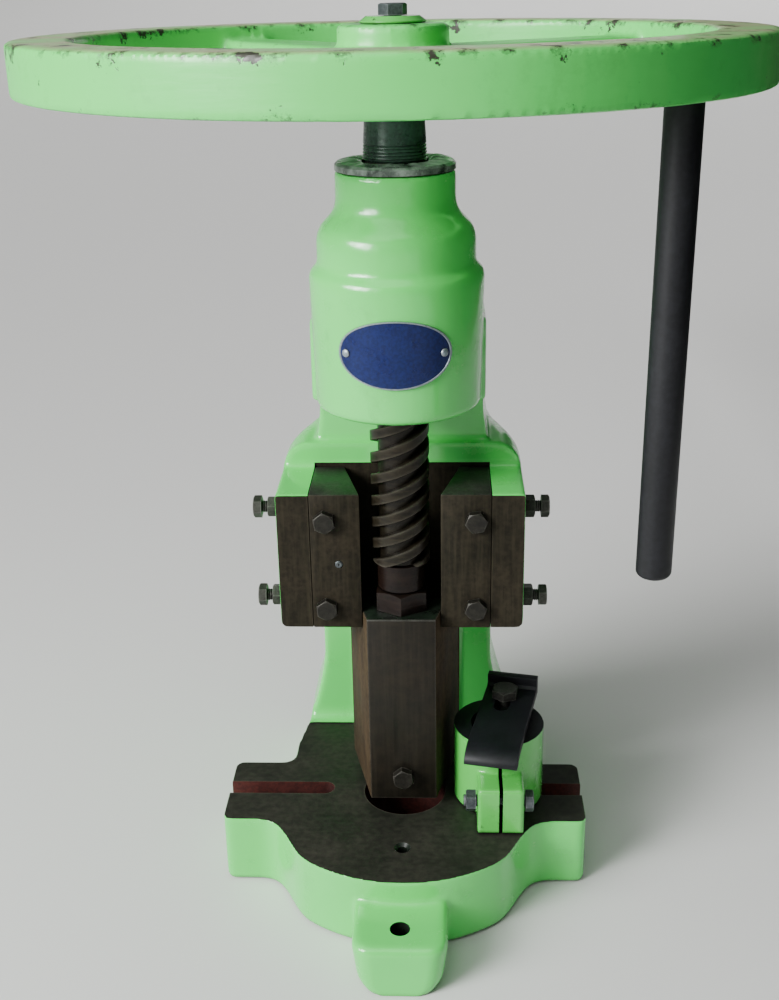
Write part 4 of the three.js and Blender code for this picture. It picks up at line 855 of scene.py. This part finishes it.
def makeStopDog():
    c, thick = collar, collar["dogThick"]
    under = collarHigh[2] + 0.3
    top = under + thick
    front = -c["radius"] - 20
    rear = c["radius"] + c["dogReach"]
    foot = top - c["legLength"]
    turns = [radians(t) for t in range(0, 91, 9)]
    inner, fall = c["bend"] - thick + 2, under - foot - 0.5
    outline = [(front, foot), (front + thick, foot)]
    outline += [(front + thick + inner * (1 - sin(t)), under - fall * (1 - cos(t))) for t in reversed(turns)]
    outline += [(rear, under), (rear, top + c["lipRise"]), (rear - thick, top + c["lipRise"]),
                (rear - thick, top + 2), (rear - thick - 2, top)]
    outline += [(front + c["bend"] * (1 - sin(t)), top - (c["legLength"] - 1) * (1 - cos(t))) for t in turns]
    form = slabForm(outline, -c["dogHalf"], c["dogHalf"], "X")
    roundEdges(form, 1.2, 3, least=50)
    piece = makePiece("stopDog", form, blackStrap)
    hole, holeX, holeY = c["dogHole"], -c["dogShift"], c["radius"] - c["boltInset"]
    slotY = holeY - c["slotRun"]
    for y in (holeY, slotY):
        carved(piece, placed(rodForm(hole, under - 5, top + 5), (holeX, y, 0)), blackStrap)
    carved(piece, blockForm((holeX - hole, slotY, under - 5), (holeX + hole, holeY, top + 5)), blackStrap)
    piece.data.transform(Matrix.Translation((collarX * mm, 0, 0)) @ turnBy(c["dogTurn"], "Z")
                         @ Matrix.Translation((c["dogShift"] * mm, 0, 0)))
    return finished(piece, "frame", "black_steel", "stop_dog")


makeStopCollar()
makeStopDog()
x, y, _ = middleOf("stop_dog_bolt")
low, high = boxOf("stop_dog_bolt")
seat = high[2] - largeHead["height"]
hexPiece("stopDogBolt", "stop_dog_bolt", "frame", wornBoltAndHighlight, "up", (x, y, seat), largeHead, seat - low[2], twist=-10)
low, high = boxOf("stop_collar_bolt")
seat = high[0] - smallHead["height"]
hexPiece("collarBolt", "stop_collar_bolt", "frame", zincBolt, "right", (seat, lugBoltY, lugBoltZ), smallHead,
         seat - low[0], (34, 42), 6)
low, high = boxOf("stop_collar_nut")
hexPiece("collarNut", "stop_collar_nut", "frame", zincBolt, "left", (high[0], lugBoltY, lugBoltZ), smallNut,
         twist=-12)
print("stage: collar and dog done")

# Bare oval plate that follows the barrel, blue with a silver rim
plate = {"half": 35.6, "halfHeight": 20.8, "thick": 1.2, "field": 0.8, "rim": 1.7, "rivetX": 28.3, "seat": 0.3}
plateZ = middleOf("name_plate")[2]
blueEnamel = oiledMetal("blueAnodisedPlate", tableLook, grain=(20, 20, 20), patch=60, oil="#0d1a4c",
                        rust="#101f50", mark="#162758", metal=0.1, gloss=0.22, dull=0.4, relief=0.05,
                        bright="#3c5688", edgeRub=0)
silverEdge = oiledMetal("silverPlateRim", zincLook, oil="#7c8a92", rust="#8a969c", mark="#a4aeb2", hollowShare=0)


def barrelAt(z):
    return 51.6 + 1.9 * (z - barrel["bottom"]) / 87


def makePlate():
    p = plate
    rings = [1 - p["rim"] / p["half"] * k for k in (0, 0.2, 0.8, 1)]
    low, top = p["field"], p["thick"]
    profile = [(f, 0) for f in (0, 0.2, 0.4, 0.6, 0.8)]
    profile += [(rings[0], 0), (rings[0], low), (rings[1], top), (rings[2], top), (rings[3], low)]
    profile += [(rings[3] * f, low) for f in (0.97, 0.8, 0.6, 0.4, 0.2, 0)]
    form = turnedForm(profile, 96)
    for v in form.verts:
        flat = Vector((v.co.x * p["half"], v.co.y * p["halfHeight"]))
        z = plateZ + flat.y
        radius = barrelAt(z) + p["seat"] + v.co.z
        angle = flat.x / (barrelAt(z) + p["seat"])
        v.co = (radius * sin(angle), -radius * cos(angle), z)
    bmesh.ops.recalc_face_normals(form, faces=form.faces)
    piece = makePiece("namePlate", form, silverEdge, blueEnamel)
    for face in piece.data.polygons:
        middle = face.center / mm
        sine = max(-1, min(1, middle.x / Vector((middle.x, middle.y)).length))
        across = asin(sine) * barrelAt(middle.z) / p["half"]
        reach = sqrt(across ** 2 + ((middle.z - plateZ) / p["halfHeight"]) ** 2)
        face.material_index = 1 if reach < rings[3] - 0.005 else 0
    return finished(piece, "frame", "blue_plate", "name_plate")


def makeRivets():
    shaft, crown, rise, wall = 1.2, 2.5, 1.1, barrelAt(plateZ)
    for side, name in ((-1, "left"), (1, "right")):
        profile = [(0, -5), (shaft, -5), (shaft, plate["thick"]), (crown, plate["thick"])]
        profile += [(crown * cos(radians(t)), plate["thick"] + rise * sin(radians(t))) for t in (30, 55, 75)]
        form = placed(turnedForm(profile + [(0, 2.3)], 24), (0, 0, wall + plate["seat"]))
        placed(form, turn="X", angle=90)
        placed(form, (0, 0, plateZ), "Z", side * asin(plate["rivetX"] / wall) * 180 / pi)
        piece = makePiece("plateRivet" + name.title(), form, silverEdge)
        finished(piece, "frame", "zinc_steel", "plate_rivet_" + name)


makePlate()
makeRivets()

# Hidden pieces keep their solids
for name in ("thrust_pad", "screw_end_nut", "wheel_key"):
    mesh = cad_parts[name].data
    mesh.materials.clear()
    mesh.materials.append(oiledScrew)
print("stage: plate done")


# Camera at the photograph's viewing angle
view = {"place": (0.02816, -0.76924, 0.59333), "left": 2.625, "down": 22.293, "roll": -1.12, "focus": 1274}
cameraData = bpy.data.cameras.new("camera")
cameraData.sensor_width = 36
cameraData.lens = view["focus"] / 1000 * 36
cameraData.clip_start = 0.01
camera = hung("camera", cameraData)
camera.matrix_world = (Matrix.Translation(view["place"]) @ turnBy(view["left"], "Z")
                       @ turnBy(90 - view["down"], "X") @ turnBy(view["roll"], "Z"))
scene.camera = camera


# Pale floor and soft studio light from the left
def plainMaterial(name, code, roughness):
    material, _, shader, _ = startMaterial(name, Roughness=roughness)
    shader.inputs["Base Color"].default_value = linearColour(code)
    return material


bowl = [(0, 0), (3000, 0), (9000, 0), (9900, 90), (10700, 380), (11300, 960), (11500, 1700), (11550, 3000)]
ground = makePiece("floor", turnedForm(bowl, 96), plainMaterial("paleFloorPaint", "#d8d8d6", 0.8))
for face in ground.data.polygons:
    face.use_smooth = True
# a dark card beside the press, out of the picture, keeps its right side in shade
card = makePiece("shadeCard", blockForm((430, -700, 260), (434, 1500, 1300)),
                 plainMaterial("blackFeltCard", "#0a0a0a", 1.0))
card.visible_camera = False
card.visible_shadow = False

suns = {"key": {"from": (-1.3, -0.8, 0.66), "spread": 26, "power": 4.2},
        "fill": {"from": (-0.7, -1.4, 0.6), "spread": 60, "power": 0.1},
        "top": {"from": (-0.25, -0.3, 1.0), "spread": 60, "power": 1.3}}
for name, lamp in suns.items():
    light = bpy.data.lights.new(name, "SUN")
    light.angle = radians(lamp["spread"])
    light.energy = lamp["power"]
    hung(name, light).rotation_euler = (-Vector(lamp["from"])).to_track_quat("-Z", "Y").to_euler()
window = bpy.data.lights.new("window", "AREA")
window.size = 0.5
window.energy = 17
holder = hung("window", window)
holder.location = (-0.85, -0.85, 0.85)
holder.rotation_euler = (Vector((0, 0, 0.45)) - holder.location).to_track_quat("-Z", "Y").to_euler()
world = bpy.data.worlds.new("studio")
world.use_nodes = True
world.node_tree.nodes["Background"].inputs["Color"].default_value = linearColour("#f4f5f6")
world.node_tree.nodes["Background"].inputs["Strength"].default_value = 0.1
scene.world = world
print("stage: camera and light set")
